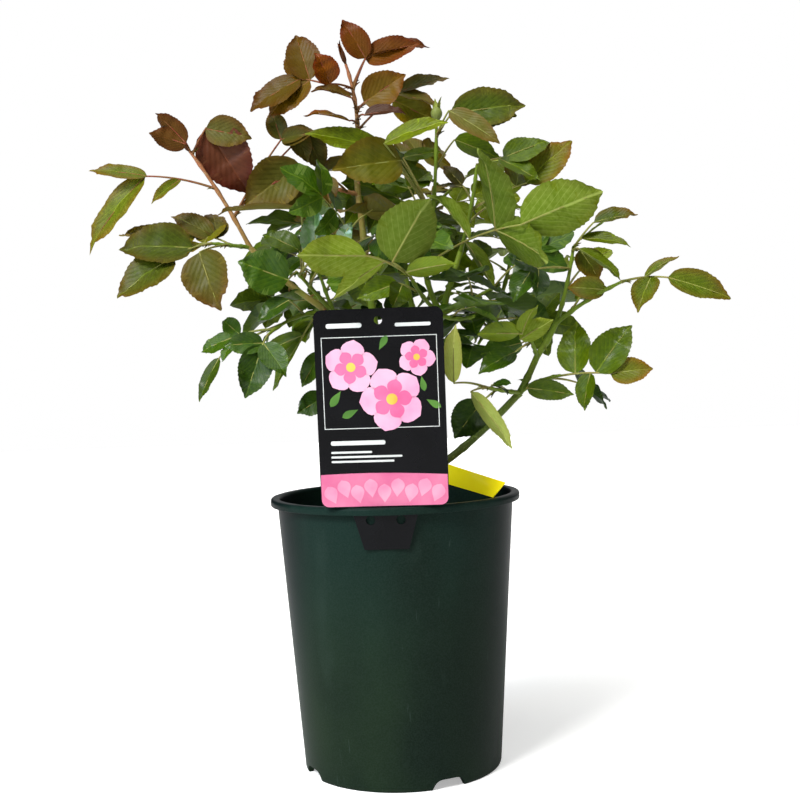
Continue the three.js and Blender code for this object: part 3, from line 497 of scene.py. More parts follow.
def addOne(tree, kind, inputs=None, **settings):
    return addNode(tree, kind, inputs, **settings)[0]


def calc(tree, operation, *values):
    return addOne(tree, "ShaderNodeMath", dict(enumerate(values)), operation=operation)


def times(tree, *values):
    return reduce(lambda first, second: calc(tree, "MULTIPLY", first, second), values)


def plus(tree, *values):
    return reduce(lambda first, second: calc(tree, "ADD", first, second), values)


def vectorCalc(tree, operation, *values):
    return addOne(tree, "ShaderNodeVectorMath", dict(enumerate(values)), operation=operation)


def scaledVector(tree, vector, by):
    return addOne(tree, "ShaderNodeVectorMath", {0: vector, "Scale": by}, operation="SCALE")


def split(tree, vector):
    return addNode(tree, "ShaderNodeSeparateXYZ", {0: vector})


def ranged(tree, value, low, high, fromLow=0.0, fromHigh=1.0, **settings):
    return addOne(tree, "ShaderNodeMapRange", {
        "Value": value, "From Min": fromLow, "From Max": fromHigh, "To Min": low, "To Max": high}, **settings)


def smooth(tree, value, low, high, first=0.0, last=1.0):
    return ranged(tree, value, first, last, low, high, interpolation_type="SMOOTHSTEP")


def noiseAt(tree, vector, scale, detail):
    return addOne(tree, "ShaderNodeTexNoise", {"Vector": vector, "Scale": scale, "Detail": detail})


def attribute(tree, name, output="Fac"):
    return addNode(tree, "ShaderNodeAttribute", attribute_name=name)[output]


def srgb(colour):
    parts = [value / 255 for value in colour]
    return tuple(part / 12.92 if part <= 0.04045 else ((part + 0.055) / 1.055) ** 2.4 for part in parts)


# Colours are given as seen, 0 to 255
def mixColour(tree, factor, first, second):
    first, second = ((*srgb(end), 1) if isinstance(end, tuple) else end for end in (first, second))
    return addNode(tree, "ShaderNodeMix", {"Factor": factor, 6: first, 7: second}, data_type="RGBA")[2]


# Lays colours over one another: each row is a mask, its share and the colour
def layered(tree, colour, *rows):
    for mask, share, over in rows:
        colour = mixColour(tree, times(tree, mask, share), colour, over)
    return colour


# A node group; an input's kind follows from its default, or is named where it has none
def newTree(name, kind, inputs, outputs):
    tree = bpy.data.node_groups.new(name, kind)
    for key, value in inputs.items():
        kinds = {float: "Float", int: "Int", tuple: "Vector", str: value}
        socket = tree.interface.new_socket(key, in_out="INPUT", socket_type=f"NodeSocket{kinds[type(value)]}")
        if not isinstance(value, str):
            socket.default_value = value
    for key in outputs:
        socketType = "NodeSocketGeometry" if key == "Geometry" else "NodeSocketFloat"
        tree.interface.new_socket(key, in_out="OUTPUT", socket_type=socketType)
    return tree, tree.nodes.new("NodeGroupInput").outputs


def newGeometry(name, inputs):
    inputs = {"Geometry": "Geometry", "Finish": "Material", **inputs}
    return newTree(name, "GeometryNodeTree", inputs, ("Geometry",))


# Sets the nodes out in columns, by how far they are from the end
def tidyTree(tree):
    depth = {}

    def reach(item, level):
        if depth.get(item, -1) < level:
            depth[item] = level
            for socket in item.inputs:
                for link in socket.links:
                    reach(link.from_node, level + 1)

    for item in tree.nodes:
        if not any(socket.is_linked for socket in item.outputs):
            reach(item, 0)
    rows = {}
    for item in tree.nodes:
        level = depth.get(item, 0)
        item.location = (-220 * level, -190 * rows.get(level, 0))
        rows[level] = rows.get(level, 0) + 1


def closeTree(tree, outputs):
    leave = tree.nodes.new("NodeGroupOutput")
    for key, value in outputs.items():
        tree.links.new(value, leave.inputs[key])
    tidyTree(tree)
    return tree


def closeGeometry(tree, entry, geometry):
    real = addOne(tree, "GeometryNodeRealizeInstances", {"Geometry": geometry})
    finished = addOne(tree, "GeometryNodeSetMaterial", {"Geometry": real, "Material": entry["Finish"]})
    return closeTree(tree, {"Geometry": finished})


# Objects and meshes


def newObject(name, data):
    made = bpy.data.objects.new(name, data)
    bpy.context.scene.collection.objects.link(made)
    return made


def fromBuild(name, build):
    mesh = bpy.data.meshes.new(name)
    build.to_mesh(mesh)
    build.free()
    return newObject(name, mesh)


def evaluatedMesh(source):
    bpy.context.view_layer.update()
    graph = bpy.context.evaluated_depsgraph_get()
    return bpy.data.meshes.new_from_object(source.evaluated_get(graph), preserve_all_data_layers=True,
                                           depsgraph=graph)


def setAttribute(mesh, name, values, domain="POINT"):
    isVector = isinstance(values[0], tuple)
    made = mesh.attributes.new(name, "FLOAT_VECTOR" if isVector else "FLOAT", domain)
    for item, value in zip(made.data, values):
        setattr(item, "vector" if isVector else "value", value)


# A source mesh with one value of each attribute a point; points come in millimetres
def sourceMesh(name, points, edges, attributes):
    mesh = bpy.data.meshes.new(name)
    mesh.from_pydata([scaled(point, 0.001) for point in points], edges, [])
    for key, values in attributes.items():
        setAttribute(mesh, key, values)
    return newObject(name, mesh)


# Runs a node tree on a source and keeps the result as a plain mesh
def grow(name, source, tree, inputs):
    modifier = source.modifiers.new("grow", "NODES")
    modifier.node_group = tree
    sockets = {item.name: item.identifier for item in tree.interface.items_tree if item.in_out == "INPUT"}
    for key, value in inputs.items():
        modifier[sockets[key]] = value
    mesh = evaluatedMesh(source)
    mesh.name = name
    source.modifiers.remove(modifier)
    bpy.data.objects.remove(source)
    return newObject(name, mesh)


def settle(piece, slot, *nodes):
    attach(piece, "root")
    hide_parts(*nodes)
    print(piece.name, len(piece.data.polygons), "faces")


# Shared shader effects. Veins: where they fade to the rim, the midrib's two edges, the side veins' share and
# the depth of the midrib's groove
veinMake = {"fade": (0.7, 1.0), "midrib": (0.018, 0.065), "sideShare": 0.5, "groove": 1.5}


def buildVeins():
    tree, entry = newTree("leafVeins", "ShaderNodeTree", {"Count": 8.0, "Slant": 0.55, "Width": 0.08},
                          ("Mask", "Height"))
    along, across, _ = split(tree, attribute(tree, "place", "Vector"))
    across = calc(tree, "ABSOLUTE", across)
    phase = calc(tree, "SUBTRACT", along, times(tree, across, entry["Slant"]))
    distance = calc(tree, "PINGPONG", times(tree, phase, entry["Count"]), 0.5)
    side = smooth(tree, distance, 0.0, entry["Width"], 1.0, 0.0)
    side = times(tree, side, smooth(tree, across, *veinMake["fade"], 1.0, 0.0))
    middle = smooth(tree, across, *veinMake["midrib"], 1.0, 0.0)
    pillow = smooth(tree, distance, 0.0, 0.5)
    return closeTree(tree, {
        "Mask": calc(tree, "MAXIMUM", middle, times(tree, side, veinMake["sideShare"])),
        "Height": calc(tree, "SUBTRACT", pillow, times(tree, middle, veinMake["groove"]))})


def buildMottle():
    tree, entry = newTree("mottle", "ShaderNodeTree", {
        "Scale": 60.0, "Detail": 4.0, "Low": 0.35, "High": 0.65, "Stretch": (1, 1, 1)}, ("Mask", "Grain"))
    place = vectorCalc(tree, "MULTIPLY", addNode(tree, "ShaderNodeTexCoord")["Object"], entry["Stretch"])
    noise = noiseAt(tree, place, entry["Scale"], entry["Detail"])
    return closeTree(tree, {"Mask": smooth(tree, noise, entry["Low"], entry["High"]), "Grain": noise})


veinsGroup = buildVeins()
mottleGroup = buildMottle()

# Mottles: scale, ends of the mask, detail, stretch
marks = {
    "leafGrain": (320.0, 0.3, 0.75),
    "leafBlotch": (18.0, 0.3, 0.8, 6.0),
    "stemFleck": (420.0, 0.56, 0.68, 2.0),
    "potCloud": (9.0, 0.35, 0.7, 4.0, (1, 1, 0.5)),
    "potDust": (26.0, 0.6, 0.8, 4.0, (1, 1, 0.3)),
    "potScuff": (210.0, 0.68, 0.74, 4.0, (1, 1, 0.12)),
    "potPeel": (900.0, 0.35, 0.65, 2.0),
    "peatClump": (160.0,),
    "peatGrain": (700.0, 0.45, 0.65),
    "cardCloud": (34.0, 0.3, 0.75),
    "cardGrain": (600.0, 0.35, 0.65, 2.0),
    "floorCloud": (3.0,),
}


def mottle(tree, scale, low=0.35, high=0.65, detail=4.0, stretch=(1, 1, 1)):
    inputs = {"Scale": scale, "Low": low, "High": high, "Detail": detail, "Stretch": stretch}
    return addNode(tree, "ShaderNodeGroup", inputs, node_tree=mottleGroup)


def newMaterial(name):
    material = bpy.data.materials.new(name)
    material.use_nodes = True
    return material, material.node_tree


# Feeds the shader; relief is the bump's height, strength and depth
def finishMaterial(material, inputs, relief=None):
    tree = material.node_tree
    if relief:
        height, strength, distance = relief
        inputs["Normal"] = addOne(tree, "ShaderNodeBump", {
            "Height": height, "Strength": strength, "Distance": distance})
    for key, value in inputs.items():
        feed(tree, tree.nodes["Principled BSDF"].inputs[key], value)
    tidyTree(tree)
    return material


# Leaf finishes: upper side, underside, veins and rim, the share of the rim that is tinted, the gloss coat
leafLooks = {
    "deep": ((48, 72, 25), (84, 102, 52), (96, 116, 52), (64, 80, 34), 0.2, 0.25),
    "mid": ((66, 85, 27), (90, 107, 48), (118, 134, 58), (86, 84, 34), 0.3, 0.15),
    "bright": ((72, 84, 25), (106, 124, 54), (132, 148, 70), (104, 94, 38), 0.3, 0.0),
    "olive": ((94, 110, 38), (100, 118, 52), (156, 168, 100), (96, 84, 38), 0.3, 0.0),
    # The glossy finish's colours are paler and bluer than the other greens: partly the leaf's own colour,
    # partly a painted bluish sheen; its coat gives the real shine
    "glossy": ((66, 98, 52), (92, 112, 60), (108, 136, 88), (84, 104, 50), 0.2, 0.9),
    "edged": ((64, 78, 30), (88, 100, 44), (116, 130, 60), (104, 72, 40), 0.8, 0.0),
    "turning": ((88, 90, 36), (102, 102, 48), (132, 126, 64), (108, 70, 36), 0.7, 0.0),
    "moss": ((69, 71, 33), (92, 90, 46), (100, 97, 52), (94, 60, 38), 0.7, 0.0),
    "bronze": ((98, 78, 34), (108, 90, 46), (116, 94, 48), (100, 50, 34), 0.8, 0.0),
    "copper": ((95, 64, 37), (108, 76, 46), (116, 78, 48), (96, 42, 32), 0.8, 0.0),
    "wine": ((84, 55, 42), (98, 70, 52), (102, 66, 50), (70, 26, 24), 0.7, 0.0),
    "pale": ((142, 154, 86), (152, 164, 96), (178, 186, 122), (150, 138, 80), 0.4, 0.0),
    "blush": ((112, 112, 56), (136, 120, 80), (158, 146, 98), (146, 98, 70), 0.8, 0.0),
    "withered": ((68, 84, 30), (90, 104, 50), (116, 126, 60), (122, 88, 50), 1.0, 0.0),
}
youngLooks = ("turning", "bronze", "copper", "wine")
leafGloss = {
    "upper": 0.4, "under": 0.62, "grain": 0.12, "specular": 0.16,
    "coatRough": 0.24, "coatIor": {"glossy": 2.1}, "coatTint": (0.85, 0.95, 1.0, 1),
}
leafTones = {
    "spread": 0.4, "hue": 0.007, "saturation": 1.2, "veinUpper": 0.58, "veinUnder": 0.9,
    "blotch": 0.3, "mottle": 0.25,
}
leafRelief = {"fold": 14.0, "veins": 0.6, "strength": 0.45, "depth": 0.0005}
# Where the tint of the rim begins and is full, from the midrib outwards and from the foot to the tip
rimSpan = (0.35, 1.05)
tipSpan = (0.45, 1.05)


def leafMaterial(name, look):
    upper, underside, vein, tinted, tint, coat = look
    material, tree = newMaterial("leaf_" + name)
    veins = addNode(tree, "ShaderNodeGroup", node_tree=veinsGroup)
    fine = mottle(tree, *marks["leafGrain"])
    blotch = mottle(tree, *marks["leafBlotch"])
    under, rim, tone = (attribute(tree, key) for key in ("under", "rim", "tone"))
    along, across, _ = split(tree, attribute(tree, "place", "Vector"))
    strength = ranged(tree, under, leafTones["veinUpper"], leafTones["veinUnder"])
    edge = plus(tree, smooth(tree, rim, *rimSpan), smooth(tree, along, *tipSpan))
    colour = layered(tree, mixColour(tree, under, upper, underside),
                     (blotch["Mask"], tint * leafTones["blotch"], tinted),
                     (fine["Mask"], leafTones["mottle"], vein), (veins["Mask"], strength, vein),
                     (times(tree, edge, blotch["Grain"]), tint, tinted))
    span, hue = leafTones["spread"], leafTones["hue"]
    colour = addOne(tree, "ShaderNodeHueSaturation", {
        "Hue": ranged(tree, tone, 0.5 + hue, 0.5 - hue), "Saturation": leafTones["saturation"],
        "Value": ranged(tree, tone, 1 - span, 1 + span), "Color": colour})
    rough = ranged(tree, under, leafGloss["upper"], leafGloss["under"])
    height = times(tree, plus(tree, veins["Height"], fine["Grain"]), leafRelief["veins"])
    fold = ranged(tree, under, leafRelief["fold"], -leafRelief["fold"])
    height = calc(tree, "MULTIPLY_ADD", calc(tree, "ABSOLUTE", across), fold, height)
    return finishMaterial(material, {
        "Base Color": colour, "Roughness": plus(tree, rough, times(tree, fine["Grain"], leafGloss["grain"])),
        "Specular IOR Level": leafGloss["specular"], "Coat Weight": coat,
        "Coat IOR": leafGloss["coatIor"].get(name, 1.5), "Coat Roughness": leafGloss["coatRough"],
        "Coat Tint": leafGloss["coatTint"]}, (height, leafRelief["strength"], leafRelief["depth"]))


# Bark and stems: the old foot (attribute age 0), the young tip (age 1), streaks and flecks, the streaks'
# share and fineness, roughness, relief
stemLooks = {
    "cane": ((44, 56, 22), (108, 132, 30), (90, 88, 36), (112, 128, 58), 0.28, 120.0, 0.42, 0.0006),
    "youngCane": ((122, 138, 52), (164, 102, 70), (156, 100, 70), (176, 152, 108), 0.3, 120.0, 0.42, 0.0006),
    "union": ((72, 58, 42), (82, 80, 46), (48, 40, 30), (128, 112, 86), 0.6, 90.0, 0.7, 0.002),
    "stalk": ((108, 112, 48), (150, 154, 78), (132, 108, 58), (156, 156, 96), 0.5, 150.0, 0.42, 0.0003),
    "youngStalk": ((116, 76, 42), (138, 62, 44), (128, 104, 52), (160, 110, 76), 0.5, 150.0, 0.4, 0.0003),
}
stemGloss = {"specular": 0.2, "streakRough": 0.2, "flecks": 0.5, "fleckRelief": 0.4, "bump": 0.6}
streakMask = {"low": 0.4, "high": 0.62, "stretch": (1, 1, 0.22)}


def stemMaterial(name, look):
    old, young, streakColour, fleckColour, streaks, fineness, rough, relief = look
    material, tree = newMaterial(name)
    streak = mottle(tree, fineness, **streakMask)
    fleck = mottle(tree, *marks["stemFleck"])
    colour = layered(tree, mixColour(tree, attribute(tree, "age"), old, young),
                     (streak["Mask"], streaks, streakColour),
                     (fleck["Mask"], stemGloss["flecks"], fleckColour))
    rough = plus(tree, rough, times(tree, streak["Grain"], stemGloss["streakRough"]))
    height = plus(tree, streak["Grain"], times(tree, fleck["Grain"], stemGloss["fleckRelief"]))
    return finishMaterial(material, {
        "Base Color": colour, "Roughness": rough, "Specular IOR Level": stemGloss["specular"]},
        (height, stemGloss["bump"], relief))


stemMaterials = {name: stemMaterial(name, look) for name, look in stemLooks.items()}
leafMaterials = {name: leafMaterial(name, look) for name, look in leafLooks.items()}


# Leaves: one unit blade, set on every leaflet's point and bent by the rule. Large and small give the rows
# along and the columns across of the blades that show and of the many small ones
bladeMake = {
    "large": (28, 4), "small": (10, 2), "tooth": 0.015, "lean": 0.4, "point": 0.22, "pointPower": 0.4,
    "thickness": 0.35, "wave": 1.0, "curl": 0.5,
}


def bladeOutline(s):
    foot, tip, peak = finalOutline
    point = min(1, (1 - s) / bladeMake["point"]) ** bladeMake["pointPower"]
    return s ** foot * (1 - s) ** tip / peak * point


def bladeTemplate(rows, columns):
    points = []
    rims = []

    def addPoint(s, across, depth):
        isTooth = round(s * rows) % 2
        tooth = 1 + bladeMake["tooth"] * (1 if isTooth else -1) * abs(across) ** 4
        lean = bladeMake["lean"] / rows * abs(across) ** 4 * isTooth
        points.append((min(s + lean, 1), bladeOutline(s) * across * tooth if 0 < s < 1 else 0, depth))
        rims.append(abs(across))
        return len(points) - 1

    root = addPoint(0, 0, 0)
    tip = addPoint(1, 0, 0)
    shares = spread(-1, 1, columns)
    top = [[addPoint(i / rows, across, 0) for across in shares] for i in range(1, rows)]
    under = [[row[0], *(addPoint((i + 1) / rows, across, -1) for across in shares[1:-1]), row[-1]]
             for i, row in enumerate(top)]

    def gridFaces(grid):
        faces = [(low[j], high[j], high[j + 1], low[j + 1])
                 for low, high in zip(grid, grid[1:]) for j in range(columns)]
        for j in range(columns):
            faces += [(root, grid[0][j], grid[0][j + 1]), (grid[-1][j], tip, grid[-1][j + 1])]
        return faces

    faces = gridFaces(top)
    sides = [0] * len(faces) + [1] * len(faces)
    faces += [face[::-1] for face in gridFaces(under)]
    mesh = bpy.data.meshes.new("blade")
    mesh.from_pydata(points, [], faces)
    setAttribute(mesh, "place", points)
    setAttribute(mesh, "rim", rims)
    setAttribute(mesh, "under", sides, "FACE")
    outline = {root, tip, *(row[0] for row in top), *(row[-1] for row in top)}
    for edge in mesh.edges:
        edge.use_edge_sharp = set(edge.vertices) <= outline
    return newObject("blade", mesh)


def named(tree, name, kind="FLOAT_VECTOR"):
    return addOne(tree, "GeometryNodeInputNamedAttribute", {"Name": name}, data_type=kind)


# Places of the ripples over a leaf, and where the curl of its tip begins
leafWave = {"along": 2.4, "across": 1.1, "leafToLeaf": 40.0, "scale": 1.6, "curlFrom": 0.72}


def buildLeafTree():
    tree, entry = newGeometry("growLeaves", {"Blade": "Object", "Wave": 1.0, "Curl": 0.5})
    blade = addNode(tree, "GeometryNodeObjectInfo", {"Object": entry["Blade"]})["Geometry"]
    placed = addOne(tree, "GeometryNodeInstanceOnPoints", {"Points": entry["Geometry"], "Instance": blade})
    real = addOne(tree, "GeometryNodeRealizeInstances", {"Geometry": placed})
    out, top = named(tree, "out"), named(tree, "top")
    s, y, depth = split(tree, named(tree, "place"))
    length, half, thickness = split(tree, named(tree, "size"))
    arch, fold, tone = split(tree, named(tree, "shape"))
    reach, across = times(tree, length, s), times(tree, half, y)
    spot = addOne(tree, "ShaderNodeCombineXYZ", {
        0: times(tree, s, leafWave["along"]), 1: times(tree, y, leafWave["across"]),
        2: times(tree, tone, leafWave["leafToLeaf"])})
    ripple = calc(tree, "SUBTRACT", noiseAt(tree, spot, leafWave["scale"], 1.0), 0.5)
    wave = times(tree, ripple, times(tree, half, s), entry["Wave"])
    tipShare = calc(tree, "MAXIMUM", calc(tree, "SUBTRACT", s, leafWave["curlFrom"]), 0.0)
    curl = times(tree, tipShare, tipShare, length, entry["Curl"])
    rise = times(tree, calc(tree, "ABSOLUTE", across), fold)
    lift = calc(tree, "SUBTRACT", plus(tree, rise, wave), plus(tree, times(tree, arch, reach, s), curl))
    lift = plus(tree, lift, times(tree, depth, thickness))
    side = vectorCalc(tree, "CROSS_PRODUCT", top, out)
    point = named(tree, "foot")
    for way, by in ((out, reach), (side, across), (top, lift)):
        point = vectorCalc(tree, "ADD", point, scaledVector(tree, way, by))
    bent = addOne(tree, "GeometryNodeSetPosition", {"Geometry": real, "Position": point})
    return closeGeometry(tree, entry, addOne(tree, "GeometryNodeSetShadeSmooth", {0: bent}))


# Finishes dealt out by spray, one a leaf in the order of the rows or one a leaflet, and in turn for the ruled
# masses
spray = {
    "left_tip": ("edged", "copper", ("wine", "moss"), "moss", "moss"),
    "left_low": ("edged", "turning", "moss", "moss"),
    "top_tip": ("copper", "copper", "copper", "bronze", "bronze", "bronze", "moss", "wine", "bronze",
                "turning"),
    "upper_left": ("moss", "moss"),
    "centre_top": ("olive", "turning", "bright", "bright", "mid", "edged", "mid", "mid", "blush"),
    "right_upper": ("edged", "moss", "olive", "mid"),
    "right_tip": ("withered", "bright", "withered", "olive", "deep", "olive"),
    "far_right": ("edged", "edged", "mid"),
    "low_right": (("withered", "mid"), "mid", "deep"),
    "right_inner": ("mid", "deep", "olive", "deep"),
    "front_centre": ("olive", "olive", "mid", "mid"),
    "card_right": ("pale", "pale", "deep", "mid", "deep"),
    "left_mid": ("deep", "glossy", "moss", "glossy", "mid"),
    "left_drop": ("deep", "deep", "mid", "deep", "mid"),
    "card_left": ("deep", "deep"),
    "inner_top": ("moss", "deep"),
    "inner_high": ("olive", "turning", "mid"),
    "back_high": ("moss", "mid", "turning"),
    "back_left": ("mid", "moss", "deep"),
    "back_right": ("olive", "mid", "deep"),
    "inner": ("deep", "mid", "deep"),
}
ruledSpreads = (
    {"rachis": 0.14, "end": 0.86, "sides": ((0.06, 66, 0.56),), "width": 0.72},
    {"rachis": 0.4, "end": 0.6, "sides": ((0.34, 62, 0.52), (0.02, 70, 0.46)), "width": 0.68},
)
# Pairs are the least and the spread
leafletRule = {
    "swing": 16, "nodMiddle": 0.55, "nod": 0.5, "width": (0.92, 0.16), "fold": (6, 14), "arch": (0.08, 0.18),
}
toneSpread = 0.5


def between(pair, draw):
    return pair[0] + pair[1] * draw()


# A ruled mass's blade becomes a leaf of three or five leaflets in the same reach
def spreadBlade(blade, rule, draw):
    side = cross(blade["top"], blade["out"])
    aim = unit(add(blade["out"], blade["top"], -blade["arch"]))
    leaflets = []
    sides = [(s, sign * turn, size) for s, turn, size in rule["sides"] for sign in (1, -1)]
    for s, turn, size in ((rule["rachis"], 0, rule["end"]), *sides):
        out = swung(aim, side, math.radians(turn + (draw() - 0.5) * leafletRule["swing"]))
        out = unit(add(out, blade["top"], (draw() - leafletRule["nodMiddle"]) * leafletRule["nod"]))
        length = blade["length"] * size
        leaflets.append({
            "base": bladePoint(blade, s, 0), "out": out, "top": unit(beside(blade["top"], out)),
            "length": length, "width": length * rule["width"] * between(leafletRule["width"], draw),
            "fold": between(leafletRule["fold"], draw), "arch": between(leafletRule["arch"], draw),
        })
    return leaflets


stipule = {"length": 8, "lengths": (0.8, 0.4), "width": 2.6, "turn": 16, "face": 20, "arch": 0.2, "fold": 24}


def stipules(leaf, draw):
    foot, middle, _ = leaf["stalk"]
    way = unit(add(middle, foot, -1))
    top = frontFacing(way, stipule["face"])
    made = []
    for sign in (-1, 1):
        out = unit(swung(way, cross(top, way), math.radians(stipule["turn"] * sign)))
        length = stipule["length"] * between(stipule["lengths"], draw)
        made.append({**stipule, "base": foot, "out": out, "top": top, "length": length})
    return made


def dealLeaves(masses):
    dealt = {}
    for mass in masses:
        kinds = spray.get(mass["name"], spray["inner"])
        draw = makeDraw(mass["seed"] + 500)
        for leaf in mass["grown"]:
            chosen = kinds[leaf["index"] % len(kinds)]
            chosen = chosen if isinstance(chosen, tuple) else (chosen,)
            blades = leaf["blades"]
            if not mass["shown"]:
                rule = ruledSpreads[leaf["index"] % 2]
                blades = [leaflet for blade in blades for leaflet in spreadBlade(blade, rule, draw)]
            tone = draw()
            for i, blade in enumerate([*blades, *stipules(leaf, draw)]):
                kind = chosen[min(i, len(chosen) - 1)]
                size = "large" if mass["shown"] and i < len(blades) else "small"
                deal = dealt.setdefault((kind, size), {"leaflets": [], "nodes": set()})
                own = min(1, max(0, tone + (draw() - 0.5) * toneSpread))
                deal["leaflets"].append({**blade, "tone": own})
                deal["nodes"].add("leaves_" + mass["name"])
    return dealt


def growBlades(name, blades, template, finish, wave, curl):
    source = sourceMesh("points", [blade["base"] for blade in blades], [], {
        "foot": [scaled(blade["base"], 0.001) for blade in blades],
        "out": [blade["out"] for blade in blades],
        "top": [blade["top"] for blade in blades],
        "size": [scaled((blade["length"], blade["width"] / 2, bladeMake["thickness"]), 0.001)
                 for blade in blades],
        "shape": [(blade["arch"], math.tan(math.radians(blade["fold"])), blade["tone"]) for blade in blades],
        "tone": [blade["tone"] for blade in blades],
    })
    return grow(name, source, leafTree, {
        "Blade": template, "Finish": leafMaterials[finish], "Wave": wave, "Curl": curl})


def makeLeaves(masses):
    for (kind, size), deal in dealLeaves(masses).items():
        piece = growBlades(f"foliage_{kind}_{size}", deal["leaflets"], templates[size], kind,
                           bladeMake["wave"], bladeMake["curl"])
        settle(piece, "leaf_young" if kind in youngLooks else "leaf", *sorted(deal["nodes"]))


# Stems, canes and trunk: tubes along their curves, with relief from a node tree. Pairs are the radius at the
# foot and at the end
tubeMake = {
    "stalkSides": 7, "stem": (1.9, 1.2), "stemKnot": 0.5, "stalk": (1.05, 0.65), "stalkFoot": 0.45,
    "midrib": (0.62, 0.22), "midribSink": 0.35, "midribAge": 0.6,
}
# Sides, depth of the relief and its fineness
caneSkin = (14, 0.5, 180.0)
trunkSkin = (40, 3.2, 75.0)
budSkin = (20, 0.3, 160.0)


def buildTubeTree():
    tree, entry = newGeometry("growTubes", {"Sides": 8, "Relief": 0.0, "Grain": 100.0})
    curves = addOne(tree, "GeometryNodeMeshToCurve", {0: entry["Geometry"]})
    ring = addOne(tree, "GeometryNodeCurvePrimitiveCircle", {"Resolution": entry["Sides"], "Radius": 1.0})
    tube = addOne(tree, "GeometryNodeCurveToMesh", {
        "Curve": curves, "Profile Curve": ring, "Scale": named(tree, "girth", "FLOAT"), "Fill Caps": True})
    drawn = vectorCalc(tree, "MULTIPLY", addOne(tree, "GeometryNodeInputPosition"), (1, 1, 0.35))
    ripple = calc(tree, "SUBTRACT", noiseAt(tree, drawn, entry["Grain"], 3.0), 0.5)
    offset = scaledVector(tree, addOne(tree, "GeometryNodeInputNormal"), times(tree, ripple, entry["Relief"]))
    lifted = addOne(tree, "GeometryNodeSetPosition", {"Geometry": tube, "Offset": offset})
    return closeGeometry(tree, entry, addOne(tree, "GeometryNodeSetShadeSmooth", {0: lifted}))


# Tubes are lists of (points, radii, ages)
def makeTubes(name, tubes, finish, sides, relief=0.0, grain=100.0):
    points, edges, radii, ages = [], [], [], []
    for line, sizes, years in tubes:
        first = len(points)
        points.extend(line)
        radii.extend(size * 0.001 for size in sizes)
        ages.extend(years)
        edges.extend((first + i, first + i + 1) for i in range(len(line) - 1))
    source = sourceMesh(name, points, edges, {"girth": radii, "age": ages})
    return grow(name, source, tubeTree, {
        "Finish": finish, "Sides": sides, "Relief": relief * 0.001, "Grain": grain})


def stemTube(mass, firstAge, steps=14):
    sizes = spread(*tubeMake["stem"], steps)
    sizes[::4] = [size + tubeMake["stemKnot"] for size in sizes[::4]]
    return bendLine(mass["start"], mass["bow"], mass["tip"], steps), sizes, spread(firstAge, 1, steps)


def stalkTube(leaf, steps=10):
    start, middle, end = leaf["stalk"]
    bow = add(scaled(middle, 2), scaled(add(start, end), 0.5), -1)
    sizes = spread(*tubeMake["stalk"], steps)
    sizes[0] += tubeMake["stalkFoot"]
    return bendLine(start, bow, end, steps), sizes, spread(0, 1, steps)


def midribTube(blade, share, steps=8):
    line = [add(bladePoint(blade, s, 0), blade["top"], -tubeMake["midribSink"])
            for s in spread(0, share, steps)]
    return line, spread(*tubeMake["midrib"], steps), spread(tubeMake["midribAge"], 1, steps)


# Share of a blade that its midrib runs, on masses that show and on ruled ones
midribShares = {True: 0.8, False: 0.42}
youngMasses = {"left_tip", "top_tip", "upper_left"}
# Ending of the names, young or not, finishes of stems and stalks, age at a stem's foot
stalkSets = (("", False, "cane", "stalk", 0.7), ("_young", True, "youngCane", "youngStalk", 0.6))


def makeStalks(masses):
    for ending, isYoung, stemFinish, stalkFinish, firstAge in stalkSets:
        own = [mass for mass in masses if (mass["name"] in youngMasses) == isYoung]
        stalks = []
        for mass in own:
            for leaf in mass["grown"]:
                stalks.append(stalkTube(leaf))
                stalks.extend(midribTube(blade, midribShares[mass["shown"]]) for blade in leaf["blades"])
        stems = [stemTube(mass, firstAge) for mass in own]
        for name, tubes, finish in (("stems", stems, stemFinish), ("stalks", stalks, stalkFinish)):
            piece = makeTubes(name + ending, tubes, stemMaterials[finish], tubeMake["stalkSides"])
            settle(piece, "leaf_young" if isYoung else "leaf", *("leaves_" + mass["name"] for mass in own))


# Swollen joints along a limb, and the thorns between them. Pairs are the least and the spread
joint = {"spacing": 26, "swell": 0.2, "width": 2.4}
thorn = {
    "spacing": 17, "place": (0.4, 0.3), "turn": 137.5, "length": 5.2, "size": (0.7, 0.5), "foot": 3.4,
    "taper": 1.7, "tip": 0.06, "drop": 0.35, "sink": 0.6,
}
# Heights over which a cane turns from old to young, and the ages at foot and end of the young red ones
caneAge = {"foot": 226, "rise": 125}
redLimbs = {"left_2": (0, 0.45), "top_2": (0, 0.35), "top_3": (0.35, 0.6)}


def limbLength(start, bow, end):
    points = bendLine(start, bow, end, 10)
    return sum(math.dist(a, b) for a, b in zip(points, points[1:]))


def limbWay(start, bow, end, t):
    return unit(add(bend(start, bow, end, min(1, t + 0.02)), bend(start, bow, end, t - 0.02), -1))


def caneTube(limb, redSpan, steps=40):
    _, *curve, startRadius, endRadius = limb
    line = bendLine(*curve, steps)
    length = limbLength(*curve)
    sizes = []
    for i, radius in enumerate(spread(startRadius, endRadius, steps)):
        gap = (length * (i / steps)) % joint["spacing"] - joint["spacing"] / 2
        sizes.append(radius * (1 + joint["swell"] * math.exp(-((gap / joint["width"]) ** 2))))
    if redSpan:
        return line, sizes, spread(*redSpan, steps)
    return line, sizes, [min(1, max(0, (point[2] - caneAge["foot"]) / caneAge["rise"])) for point in line]


